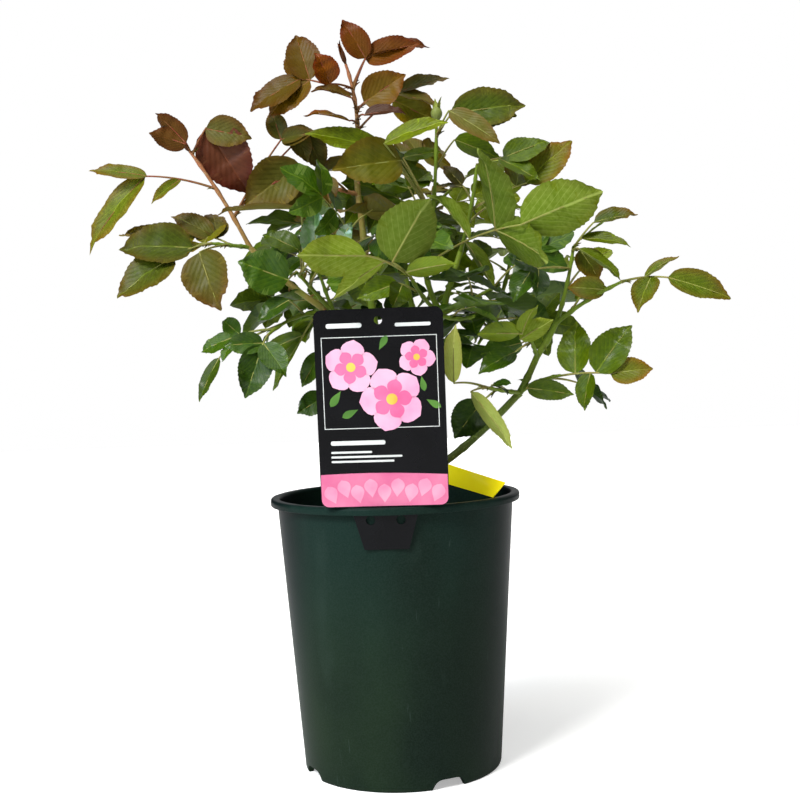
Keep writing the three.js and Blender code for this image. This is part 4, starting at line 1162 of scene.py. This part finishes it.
def thornTubes(limb, seed):
    _, *curve, startRadius, endRadius = limb
    length = limbLength(*curve)
    draw = makeDraw(seed)
    tubes = []
    for i in range(int(length / thorn["spacing"])):
        t = min(1, (i + between(thorn["place"], draw)) * thorn["spacing"] / length)
        way = limbWay(*curve, t)
        out = unit(beside(heading(thorn["turn"] * (i + seed), 0), way))
        foot = add(bend(*curve, t), out, startRadius + (endRadius - startRadius) * t - thorn["sink"])
        size = thorn["length"] * between(thorn["size"], draw)
        shares = spread(0, 1, 5)
        line = [add(add(foot, out, size * share), way, -size * thorn["drop"] * share * share)
                for share in shares]
        sizes = [max(thorn["tip"], thorn["foot"] / 2 * (1 - share) ** thorn["taper"]) for share in shares]
        tubes.append((line, sizes, spread(0.4, 1, 5)))
    return tubes


def makeCanes():
    for seed, (name, limb) in enumerate(limbs.items(), 3):
        redSpan = redLimbs.get(name)
        tubes = [caneTube(limb, redSpan), *thornTubes(limb, seed)]
        finish = stemMaterials["youngCane" if redSpan else "cane"]
        piece = makeTubes(f"cane_{name}_skin", tubes, finish, *caneSkin)
        settle(piece, "cane", "cane_" + name)


# Trunk: the knuckled graft union, with its domed head and the stubs
def makeTrunk(steps=48):
    foot, head, radii = trunk["foot"], trunk["head"], trunk["radii"]
    last = len(radii) - 1
    line = []
    sizes = []
    for t in spread(0, 1, steps):
        low = min(int(t * last), last - 1)
        share = t * last - low
        sizes.append(radii[low] + (radii[low + 1] - radii[low]) * share * share * (3 - 2 * share))
        line.append(mixed(foot, head, t))
    for rise, size in trunk["dome"]:
        line.append(add(head, (0, 0, 1), rise))
        sizes.append(size)
    tubes = [(line, sizes, [i / steps for i in range(len(line))])]
    for around, height, length, radius in trunk["stubs"]:
        out = unit(add(heading(around, 0), (0, 0, 1), trunk["stubLean"]))
        base = add(foot, (0, 0, height))
        start = trunk["stubStart"]
        tubes.append(([add(base, out, reach) for reach in spread(start, start + length, 4)],
                      [radius * share for share in trunk["stubRings"]], [0.1] * 5))
    piece = makeTubes("trunk_skin", tubes, stemMaterials["union"], *trunkSkin)
    settle(piece, "bark", "trunk")


# Buds: a body in nine rings between its sepals. Each kind: share of the radius, lean of the sepals, finishes
# of body and sepals, slot
bud = {
    "length": 17, "radius": 4.6, "rings": (0.3, 0.5, 0.78, 0.98, 1.0, 0.86, 0.62, 0.36, 0.1),
    "sepals": 5, "sepal": 19, "sepalShares": (0.86, 0.96, 1.06), "sepalFoot": 0.45, "sepalWidth": 4.4,
    "sepalArch": 0.12, "sepalFold": -28, "sepalCurl": -1.2,
}
flowerBud = (1, 0.18, "pale", "pale", "leaf")
youngBud = (0.45, 0.1, "wine", "copper", "leaf_young")


def makeBuds(masses):
    for mass in masses:
        if not mass["buds"]:
            continue
        share, lean, bodyFinish, sepalFinish, slot = flowerBud if mass["name"] == "centre_top" else youngBud
        tip = mass["tip"]
        way = unit(add(tip, mass["bow"], -1))
        width = bud["radius"] * share
        line = [add(tip, way, reach) for reach in spread(-1, bud["length"] * 0.95 - 1, 8)]
        tube = (line, [width * ring for ring in bud["rings"]], [0.5] * 9)
        body = makeTubes(f"bud_{mass['name']}", [tube], leafMaterials[bodyFinish], *budSkin)
        node = "leaves_" + mass["name"]
        settle(body, slot, node)
        sideways = unit(cross(way, (0.3, 1, 0.1)))
        blades = []
        for i in range(bud["sepals"]):
            outward = swung(sideways, cross(way, sideways), 2 * math.pi * (i + 0.2) / bud["sepals"])
            aim = unit(add(way, outward, lean))
            blades.append({
                "base": add(add(tip, way, -0.5), outward, width * bud["sepalFoot"]), "out": aim,
                "top": unit(beside(outward, aim)), "length": bud["sepal"] * bud["sepalShares"][i % 3],
                "width": bud["sepalWidth"], "arch": bud["sepalArch"], "fold": bud["sepalFold"], "tone": 0.5,
            })
        piece = growBlades(f"sepals_{mass['name']}", blades, templates["small"], sepalFinish, 0.0,
                           bud["sepalCurl"])
        settle(piece, slot, node)


# Pot, compost, label and tag


def potRadius(z):
    return pot["footRadius"] + (pot["wallTopRadius"] - pot["footRadius"]) * z / pot["height"]


# Turns a profile of (radius, height) about the upright axis
def lathe(name, profile, segments):
    build = bmesh.new()
    rings = []
    for radius, z in profile:
        turns = [2 * math.pi * i / segments for i in range(segments if radius else 1)]
        rings.append([build.verts.new(scaled((radius * math.cos(turn), radius * math.sin(turn), z), 0.001))
                      for turn in turns])
    for low, high in zip(rings, rings[1:]):
        for i in range(segments):
            j = (i + 1) % segments
            corners = (low[i % len(low)], low[j % len(low)], high[j % len(high)], high[i % len(high)])
            corners = [corner for k, corner in enumerate(corners) if corner not in corners[:k]]
            if len(corners) > 2:
                build.faces.new(corners)
    bmesh.ops.recalc_face_normals(build, faces=build.faces)
    if build.calc_volume(signed=True) < 0:
        bmesh.ops.reverse_faces(build, faces=build.faces)
    return fromBuild(name, build)


# Rounds the corners of a profile: corners is {index: radius}
def rounded(profile, corners, steps=5):
    made = []
    for index, point in enumerate(profile):
        if index not in corners:
            made.append(point)
            continue
        ends = []
        for other in (profile[index - 1], profile[index + 1]):
            near = min(1, corners[index] / math.dist(point, other))
            ends.append([a + (b - a) * near for a, b in zip(point, other)])
        for t in spread(0, 1, steps):
            made.append(tuple(a * (1 - t) ** 2 + 2 * b * t * (1 - t) + c * t * t
                              for a, b, c in zip(ends[0], point, ends[1])))
    return made


def arcPoints(x, y, radius, start, end, steps=8):
    turns = [math.radians(turn) for turn in spread(start, end, steps)]
    return [(x + radius * math.cos(turn), y + radius * math.sin(turn)) for turn in turns]


def roundedBox(left, low, right, high, r):
    return [*arcPoints(right - r, low + r, r, -90, 0), *arcPoints(right - r, high - r, r, 0, 90),
            *arcPoints(left + r, high - r, r, 90, 180), *arcPoints(left + r, low + r, r, 180, 270)]


def box(left, low, right, high):
    return [(left, low), (right, low), (right, high), (left, high)]


# A flat outline extruded evenly about its own plane; holes are (x, y, radius)
def plate(name, outline, thickness, holes=(), lift=0.0):
    curve = bpy.data.curves.new(name, "CURVE")
    curve.dimensions = "2D"
    curve.fill_mode = "BOTH"
    curve.extrude = thickness * 0.0005
    for loop in (outline, *(arcPoints(*hole, 0, -345, 23) for hole in holes)):
        spline = curve.splines.new("POLY")
        spline.points.add(len(loop) - 1)
        for item, (x, y) in zip(spline.points, loop):
            item.co = (x * 0.001, y * 0.001, 0, 1)
        spline.use_cyclic_u = True
    source = newObject(name, curve)
    build = bmesh.new()
    build.from_mesh(evaluatedMesh(source))
    bpy.data.objects.remove(source)
    bmesh.ops.remove_doubles(build, verts=build.verts, dist=0.000001)
    bmesh.ops.recalc_face_normals(build, faces=build.faces)
    for vert in build.verts:
        vert.co.z += lift * 0.001
    return fromBuild(name, build)


def finishWith(piece, material):
    piece.data.materials.clear()
    piece.data.materials.append(material)
    return piece


def cutAway(piece, cutter, place):
    cutter.data.transform(place)
    modifier = piece.modifiers.new("cut", "BOOLEAN")
    modifier.operation = "DIFFERENCE"
    modifier.solver = "MANIFOLD"
    modifier.object = cutter
    mesh = evaluatedMesh(piece)
    piece.modifiers.clear()
    piece.data = mesh
    bpy.data.objects.remove(cutter)


def turnAbout(axis, degrees):
    return Matrix.Rotation(math.radians(degrees), 4, axis)


# Stands a flat shape upright at a distance from the pot's axis
def standing(bearing, distance, height, lean=0.0):
    place = Matrix.Translation(Vector((0, -distance, height)) * 0.001)
    return turnAbout("Z", bearing) @ place @ Matrix.Rotation(lean, 4, "X") @ turnAbout("X", 90)


labelFace = pot["wallTopRadius"] + clearance + label["thickness"] / 2
labelStand = standing(label["bearing"], labelFace, label["foot"], wallLean)
# Pot looks: low and high are the colours at the foot and at the top, so the pot turns darker and bluer towards
# the top. The side colour is painted shade, laid on where the wall turns away towards its outline, and more so
# near the top
potLook = {
    "low": (30, 45, 29), "high": (20, 39, 34), "shade": (16, 28, 21), "dust": (58, 72, 66),
    "side": (2, 14, 17), "fadeFrom": 0.03, "edge": (0.3, 0.8), "outlineShadeShare": (0.6, 0.3),
    "dustShare": 0.16, "scuffShare": 0.3, "peelShare": 0.1, "rough": 0.4, "scuffRough": 0.2,
    "specular": 0.04, "bump": 0.25, "relief": 0.0002, "segments": 168, "sharpFrom": 38,
}


def plasticMaterial():
    material, tree = newMaterial("pot_plastic")
    cloud, dust = mottle(tree, *marks["potCloud"]), mottle(tree, *marks["potDust"])
    scuff, peel = mottle(tree, *marks["potScuff"]), mottle(tree, *marks["potPeel"])
    height = split(tree, addNode(tree, "ShaderNodeTexCoord")["Object"])["Z"]
    fade = smooth(tree, height, potLook["fadeFrom"], pot["height"] * 0.001)
    # Painted shade: the side colour darkens the wall towards its outline
    side = smooth(tree, addNode(tree, "ShaderNodeLayerWeight")["Facing"], *potLook["edge"])
    colour = layered(tree, mixColour(tree, fade, potLook["low"], potLook["high"]),
                     (cloud["Mask"], 1.0, potLook["shade"]),
                     (dust["Mask"], potLook["dustShare"], potLook["dust"]),
                     (scuff["Mask"], potLook["scuffShare"], potLook["dust"]),
                     (peel["Mask"], potLook["peelShare"], potLook["dust"]),
                     (side, calc(tree, "MULTIPLY_ADD", fade, *potLook["outlineShadeShare"]), potLook["side"]))
    rough = plus(tree, potLook["rough"], times(tree, dust["Mask"], potLook["dustShare"]),
                 times(tree, scuff["Mask"], potLook["scuffRough"]))
    return finishMaterial(material, {
        "Base Color": colour, "Roughness": rough, "Specular IOR Level": potLook["specular"]},
        (plus(tree, peel["Grain"], scuff["Mask"]), potLook["bump"], potLook["relief"]))


def makePot():
    top, rim, foot, wall = pot["height"], pot["rimRadius"], pot["footRadius"], pot["wall"]
    flange = top - pot["flangeThickness"]
    skirtFoot = top - pot["skirtHeight"]
    floorTop = pot["floorUnderside"] + pot["floorThickness"]
    skirtInner = rim - pot["skirtThickness"]
    footInner = foot - pot["footWidth"]
    inner = pot["wallTopRadius"] - wall
    profile = [
        (0, pot["floorUnderside"]), (footInner - 1.5, pot["floorUnderside"]), (footInner, 0), (foot - 0.8, 0),
        *((potRadius(z), z) for z in (1.5, 12, 60, 108, 156, 204, flange)),
        (skirtInner, flange), (skirtInner, skirtFoot + 0.6), (skirtInner + 0.6, skirtFoot),
        (rim - 0.3, skirtFoot), (rim, top - 1.6), (rim - 1.4, top), (inner + 1.2, top), (inner, top - 1.4),
        *((potRadius(z) - wall, z) for z in (190, 130, 70, floorTop + 2)),
        (potRadius(floorTop) - wall - 2, floorTop), (0, floorTop),
    ]
    corners = {3: 0.7, 4: 1.2, 10: 1.2, 11: 0.8, 14: 0.5, 15: 1.6, 16: 1.6, 17: 1.0, 18: 1.2, 22: 2}
    piece = lathe("pot_shell", rounded(profile, corners), potLook["segments"])
    half, height = pot["notchWidth"] / 2, pot["notchHeight"]
    notch = [(-half, -2), (-half, 0), (3 - half, height), (half - 3, height), (half, 0), (half, -2)]
    for bearing in pot["notchBearings"]:
        cutAway(piece, plate("cutter", rounded(notch, {2: 6, 3: 6}), 22), standing(bearing, foot, 0))
    width = label["tailTop"] / 2 + clearance
    slot = plate("cutter", box(-width, -8, width, 2), label["thickness"] + 2 * clearance)
    cutAway(piece, slot, labelStand)
    piece.data.shade_smooth()
    piece.data.set_sharp_from_angle(angle=math.radians(potLook["sharpFrom"]))
    settle(finishWith(piece, plasticMaterial()), "pot", "pot")


# Crumbs and chips: count, size in metres, how much longer than wide, seed. They lie within the reach, a share
# of the radius
compostLook = {
    "peat": (40, 30, 24), "light": (78, 60, 44), "chip": (96, 74, 52), "pit": (24, 18, 15), "pitShare": 0.5,
    "rough": 0.95, "bump": 0.9, "relief": 0.0015, "reach": 0.94,
    "crumbs": (2600, 0.0026, 1.0, 4), "chips": (260, 0.0034, 2.0, 9),
}


def compostMaterial(name, base):
    material, tree = newMaterial(name)
    clump = mottle(tree, *marks["peatClump"])
    fine = mottle(tree, *marks["peatGrain"])
    colour = layered(tree, mixColour(tree, clump["Mask"], base, compostLook["light"]),
                     (fine["Mask"], compostLook["pitShare"], compostLook["pit"]))
    return finishMaterial(material, {"Base Color": colour, "Roughness": compostLook["rough"]},
                          (plus(tree, clump["Grain"], fine["Grain"]), compostLook["bump"],
                           compostLook["relief"]))


# How far a grain turns about each axis, and its least and greatest length, width and height
grainMake = {"turn": (0.7, 0.7, 6.28), "least": (0.35, 0.3, 0.3), "most": (1.0, 0.7, 0.6)}


# Throws grains on the faces of a mesh
def buildScatterTree():
    tree, entry = newGeometry("scatter", {"Count": 1000.0, "Size": 0.002, "Long": 1.0, "Seed": 1})
    thrown = addOne(tree, "GeometryNodeDistributePointsOnFaces", {
        "Mesh": entry["Geometry"], "Density": entry["Count"], "Seed": entry["Seed"]})
    grain = addOne(tree, "GeometryNodeMeshIcoSphere", {"Radius": 1.0, "Subdivisions": 1})
    turn = addOne(tree, "FunctionNodeRandomValue", {
        "Max": grainMake["turn"], "Seed": 3}, data_type="FLOAT_VECTOR")
    size = addOne(tree, "FunctionNodeRandomValue", {
        "Min": grainMake["least"], "Max": grainMake["most"], "Seed": 7}, data_type="FLOAT_VECTOR")
    long = addOne(tree, "ShaderNodeCombineXYZ", {0: entry["Long"], 1: 1.0, 2: 1.0})
    sized = scaledVector(tree, vectorCalc(tree, "MULTIPLY", size, long), entry["Size"])
    return closeGeometry(tree, entry, addOne(tree, "GeometryNodeInstanceOnPoints", {
        "Points": thrown, "Instance": grain, "Rotation": turn, "Scale": sized}))


def makeCompost():
    low = pot["floorUnderside"] + pot["floorThickness"] + clearance
    top, mound = soil["top"], soil["mound"]

    def inner(z):
        return potRadius(z) - pot["wall"] - clearance

    rim = inner(180)
    profile = [(0, low), (inner(low) - 2.4, low), (inner(low + 2.4), low + 2.4),
               *((inner(z), z) for z in (60, 120, top - mound)),
               *((rim * share, top - mound * share ** 2)
                 for share in (0.94, 0.84, 0.72, 0.6, 0.48, 0.34, 0.18)), (0, top)]
    piece = lathe("compost_fill", profile, 96)
    piece.data.shade_smooth()
    material = compostMaterial("compost_peat", compostLook["peat"])
    settle(finishWith(piece, material), "compost", "compost")
    tree = buildScatterTree()
    reach = rim * compostLook["reach"]
    area = math.pi * (reach * 0.001) ** 2
    chip = compostMaterial("compost_chip", compostLook["chip"])
    for kind, finish in (("crumbs", material), ("chips", chip)):
        count, size, long, seed = compostLook[kind]
        disc = lathe("disc", [(reach, top - mound * 0.9), (40, top - 0.8), (0, top)], 48)
        for polygon in disc.data.polygons:
            if polygon.normal.z < 0:
                polygon.flip()
        piece = grow("compost_" + kind, disc, tree, {
            "Finish": finish, "Count": count / area, "Size": size, "Long": long, "Seed": seed})
        settle(piece, "compost", "compost")


cardLook = {"specular": 0.08, "coatRough": 0.12, "bump": 0.12, "relief": 0.0012}


# Glow is an emission in the base colour; on the tag it is painted light
def cardMaterial(name, base, second, rough, coat=0.08, glow=0.0):
    material, tree = newMaterial(name)
    cloud = mottle(tree, *marks["cardCloud"])
    grain = mottle(tree, *marks["cardGrain"])
    return finishMaterial(material, {
        "Base Color": mixColour(tree, cloud["Mask"], base, second),
        "Roughness": plus(tree, rough, times(tree, grain["Grain"], 0.1)),
        "Specular IOR Level": cardLook["specular"],
        "Coat Weight": coat, "Coat Roughness": cardLook["coatRough"],
        "Emission Color": (*srgb(base), 1), "Emission Strength": glow},
        (cloud["Grain"], cardLook["bump"], cardLook["relief"]))


# Printed design: blossoms of five petals (x, y, size, turn), leaves, plain bars and a band of petals
printDepth = 0.08
blossoms = ((-21, 103, 20, 10), (8, 79, 24, 40), (27, 109, 14, 64))
printedLeaves = ((-29, 86, 14, 235), (-17, 72, 13, 205), (33, 78, 12, 330), (30, 95, 11, 280),
                 (0, 115, 12, 60))
bars = ((-38, 131.5, 26, 3.4), (12, 131.5, 26, 2.6), (-38, 46, 40, 3.2), (-38, 40, 30, 1.5),
        (-38, 36.6, 52, 1.5), (-38, 33.2, 46, 1.5))
cardFrame = {"inset": 5, "low": 58, "high": 125, "line": 0.5}
band = {"height": 23, "wave": 2.2, "inset": 0.6}
# The band's petals: how far apart, how low, how much every second one is raised, length and width, the turn of
# the first and from one to the next
swirls = {"count": 9, "pitch": 9, "low": 3, "stagger": 4, "size": (14, 10), "turn": 114, "fan": -6}
# Powers of a petal's outline: how far out it is widest, and how full it is
petalShape = (1.5, 0.75)


def petalOutline(x, y, length, width, turn, steps=9):
    across, along = math.cos(math.radians(turn)), math.sin(math.radians(turn))
    widest, full = petalShape
    points = []
    for sign in (1, -1):
        for t in spread(0, 1, steps)[::sign]:
            half = sign * width / 2 * math.sin(math.pi * t ** widest) ** full if 0 < t < 1 else 0
            points.append((x + across * length * t - along * half, y + along * length * t + across * half))
    apart = [point for k, point in enumerate(points) if k == 0 or math.dist(point, points[k - 1]) > 0.01]
    return apart[:-1]


# Petals of all the blossoms: length and width against the blossom's size, and the turn of the first
def petals(length, width, first):
    return [petalOutline(x, y, size * length, size * width, turn + first + 72 * i)
            for x, y, size, turn in blossoms for i in range(5)]


def swirl(i):
    x = swirls["pitch"] * (i - (swirls["count"] - 1) / 2)
    y = swirls["low"] + swirls["stagger"] * (i % 2)
    return petalOutline(x, y, *swirls["size"], swirls["turn"] + swirls["fan"] * i)


def cardOutline(half, r):
    tailTop, tailFoot = label["tailTop"] / 2, label["tailFoot"] / 2
    skirt, tail = -pot["skirtHeight"], -label["tailLength"]
    return [(-tailTop, 0), (-tailTop, skirt), (-tailFoot, tail), (tailFoot, tail), (tailTop, skirt),
            (tailTop, 0), *roundedBox(-half, 0, half, label["height"], r)]


def makeLabel():
    half, r = label["width"] / 2, label["corner"]
    holes = [(0, label["height"] - label["hangHoleInset"], label["hangHole"])]
    holes += [(side * label["tailHoleSpacing"] / 2, -label["tailHoleDrop"], label["tailHole"])
              for side in (-1, 1)]
    edge, low, high, line = half - cardFrame["inset"], cardFrame["low"], cardFrame["high"], cardFrame["line"]
    lines = [roundedBox(x, y, x + width, y + height, height * 0.45) for x, y, width, height in bars]
    lines += [box(-edge, low, edge, low + line), box(-edge, high - line, edge, high),
              box(-edge, low + line, line - edge, high - line),
              box(edge - line, low + line, edge, high - line)]
    inset = band["inset"]
    strip = [*arcPoints(r - half, r, r - inset, 180, 270), *arcPoints(half - r, r, r - inset, -90, 0)]
    strip += [(x, band["height"] + band["wave"] * math.sin(0.2 * i))
              for i, x in enumerate(spread(half - inset, inset - half, 12))]
    prints = (
        # name, outlines, lift above the card, seen colour, second colour, roughness
        ("label_band", [strip], 0.05, (222, 128, 160), (206, 96, 138), 0.24),
        ("label_swirls", [swirl(i) for i in range(swirls["count"])], 0.13, (238, 168, 190),
         (226, 120, 158), 0.24),
        ("label_lines", lines, 0.05, (226, 228, 224), (206, 208, 206), 0.3),
        ("label_leaves", [petalOutline(x, y, size, size * 0.42, turn) for x, y, size, turn in printedLeaves],
         0.05, (96, 142, 62), (70, 112, 48), 0.26),
        ("label_petals", petals(1, 0.86, 0), 0.15, (240, 184, 208), (228, 146, 184), 0.24),
        ("label_inner_petals", petals(0.62, 0.46, 36), 0.25, (228, 118, 162), (212, 88, 138), 0.24),
        ("label_hearts", [arcPoints(x, y, size * 0.17, 0, 345, 23) for x, y, size, _ in blossoms], 0.35,
         (238, 206, 96), (214, 160, 60), 0.3),
    )
    card = plate("label_card_face", cardOutline(half, r), label["thickness"], holes)
    parts = [(card, (7, 7, 9), (12, 12, 15), 0.2)]
    for name, outlines, lift, *look in prints:
        build = bmesh.new()
        for outline in outlines:
            part = plate("part", outline, printDepth, lift=label["thickness"] / 2 + lift)
            build.from_mesh(part.data)
            bpy.data.objects.remove(part)
        parts.append((fromBuild(name, build), *look))
    for piece, *look in parts:
        piece.data.transform(labelStand)
        settle(finishWith(piece, cardMaterial(piece.name + "_print", *look)), "label", "label_card")


# Seen colour, second colour, roughness, coat, glow. The glow is painted light: an emission that brightens the
# tag as if it were lit
tagLook = ((244, 228, 20), (232, 214, 16), 0.42, 0.1, 0.35)


def tagRing(inner, outer, middle, axis):
    half = tag["ringDepth"] / 2
    loop = box(inner, -half, outer, half)
    profile = rounded([*loop, *loop[:2]], {k: 0.4 for k in range(1, 5)})[1:-1]
    ring = lathe("tag_ring", [*profile, profile[0]], 40)
    turn = Vector((0, 0, 1)).rotation_difference(Vector(axis)).to_matrix().to_4x4()
    ring.data.transform(Matrix.Translation(Vector(middle) * 0.001) @ turn)
    return ring


def makeTag():
    _, *curve, startRadius, _ = limbs[tag["limb"]]
    inner = startRadius + clearance
    middle, axis = bend(*curve, tag["at"]), limbWay(*curve, tag["at"])
    ring = tagRing(inner, inner + tag["ringWall"], middle, axis)
    neck = add(middle, unit(beside((0, -1, 0), axis)), inner + tag["ringWall"] / 2)
    (leftLow, leftHigh), (rightLow, rightHigh) = tag["left"], tag["right"]
    way = unit(add(add(rightLow, rightHigh), add(leftLow, leftHigh), -1))
    rows = [(add(neck, (0, 0, 1), -tag["neck"] / 2), add(neck, (0, 0, 1), tag["neck"] / 2))]
    rows += [(mixed(leftLow, rightLow, t), mixed(leftHigh, rightHigh, t)) for t in spread(0, 1, 24)]
    build = bmesh.new()
    loops = []
    for low, high in rows:
        across = scaled(unit(cross(add(high, low, -1), way)), tag["thickness"] / 2)
        line = [mixed(low, high, t) for t in spread(0, 1, 4)]
        corners = [*(add(point, across, -1) for point in line), *(add(point, across) for point in line[::-1])]
        loops.append([build.verts.new(scaled(corner, 0.001)) for corner in corners])
    for before, after in zip(loops, loops[1:]):
        for j in range(10):
            k = (j + 1) % 10
            build.faces.new((before[j], before[k], after[k], after[j]))
    build.faces.new(loops[0])
    build.faces.new(loops[-1])
    bmesh.ops.recalc_face_normals(build, faces=build.faces)
    build.from_mesh(ring.data)
    bpy.data.objects.remove(ring)
    piece = fromBuild("tag_strip", build)
    piece.data.shade_smooth()
    piece.data.set_sharp_from_angle(angle=math.radians(40))
    settle(finishWith(piece, cardMaterial("tag_plastic", *tagLook)), "tag", "plant_tag")


# Stage: pale floor, soft light and the camera at the photo's angle
view = {"place": (0.0065, -1.032, 0.328), "lens": 57.78, "sensor": 36, "down": 1.96, "roll": -1.9}
suns = (
    # heading and height of the light, strength, softness, colour
    (-38, 44, 3.3, 20, (1.0, 0.99, 0.97)),
    (35, 25, 0.3, 60, (1.0, 0.99, 0.97)),
    (20, 82, 1.1, 40, (1.0, 1.0, 0.98)),
    (165, 35, 0.7, 70, (1.0, 1.0, 1.0)),
)
panel = {
    "place": (-0.9, -0.7, 0.75), "aim": (0, 0, 0.25), "size": 0.5, "power": 5, "colour": (0.62, 0.82, 1.0),
}
# Glow is what the camera alone sees; the world has its light for the plant and its brightness for the camera
floorLook = {"greys": (0.93, 0.95), "rough": 0.9, "glow": 0.4}
worldLook = (0.08, 1.0)


def addLamp(name, kind, rotation, **settings):
    data = bpy.data.lights.new(name, kind)
    for key, value in settings.items():
        setattr(data, key, value)
    lamp = newObject(name, data)
    lamp.rotation_euler = rotation
    return lamp


def seenByCamera(tree):
    return addNode(tree, "ShaderNodeLightPath")["Is Camera Ray"]


def makeStage():
    bpy.ops.mesh.primitive_plane_add(size=8)
    floor = bpy.context.object
    floor.name = "floor"
    material, tree = newMaterial("floor_paper")
    finishWith(floor, finishMaterial(material, {
        "Base Color": ranged(tree, mottle(tree, *marks["floorCloud"])["Mask"], *floorLook["greys"]),
        "Roughness": floorLook["rough"], "Emission Color": (1, 1, 1, 1),
        "Emission Strength": times(tree, seenByCamera(tree), floorLook["glow"])}))
    scene = bpy.context.scene
    world = bpy.data.worlds.new("studio")
    world.use_nodes = True
    tree = world.node_tree
    back = tree.nodes["Background"].inputs
    feed(tree, back["Color"], (1, 1, 1, 1))
    feed(tree, back["Strength"], ranged(tree, seenByCamera(tree), *worldLook))
    scene.world = world
    scene.view_settings.view_transform = "Standard"
    for around, height, strength, softness, colour in suns:
        rotation = (math.radians(90 - height), 0, math.radians(around))
        addLamp("sun", "SUN", rotation, energy=strength, angle=math.radians(softness), color=colour)
    rotation = (Vector(panel["aim"]) - Vector(panel["place"])).to_track_quat("-Z", "Y").to_euler()
    lamp = addLamp("panel", "AREA", rotation, size=panel["size"], energy=panel["power"],
                   color=panel["colour"])
    lamp.location = panel["place"]
    data = bpy.data.cameras.new("camera")
    data.lens = view["lens"]
    data.sensor_width = view["sensor"]
    camera = newObject("camera", data)
    turn = turnAbout("X", 90 - view["down"]) @ turnAbout("Z", view["roll"])
    camera.matrix_world = Matrix.Translation(view["place"]) @ turn
    scene.camera = camera


masses = growPlant()
print("plant grown,", len(masses), "masses")
leafTree = buildLeafTree()
tubeTree = buildTubeTree()
templates = {size: bladeTemplate(*bladeMake[size]) for size in ("large", "small")}
makeLeaves(masses)
makeStalks(masses)
makeCanes()
makeTrunk()
makeBuds(masses)
for template in templates.values():
    bpy.data.objects.remove(template)
makePot()
makeCompost()
makeLabel()
makeTag()
makeStage()
print("stage set")
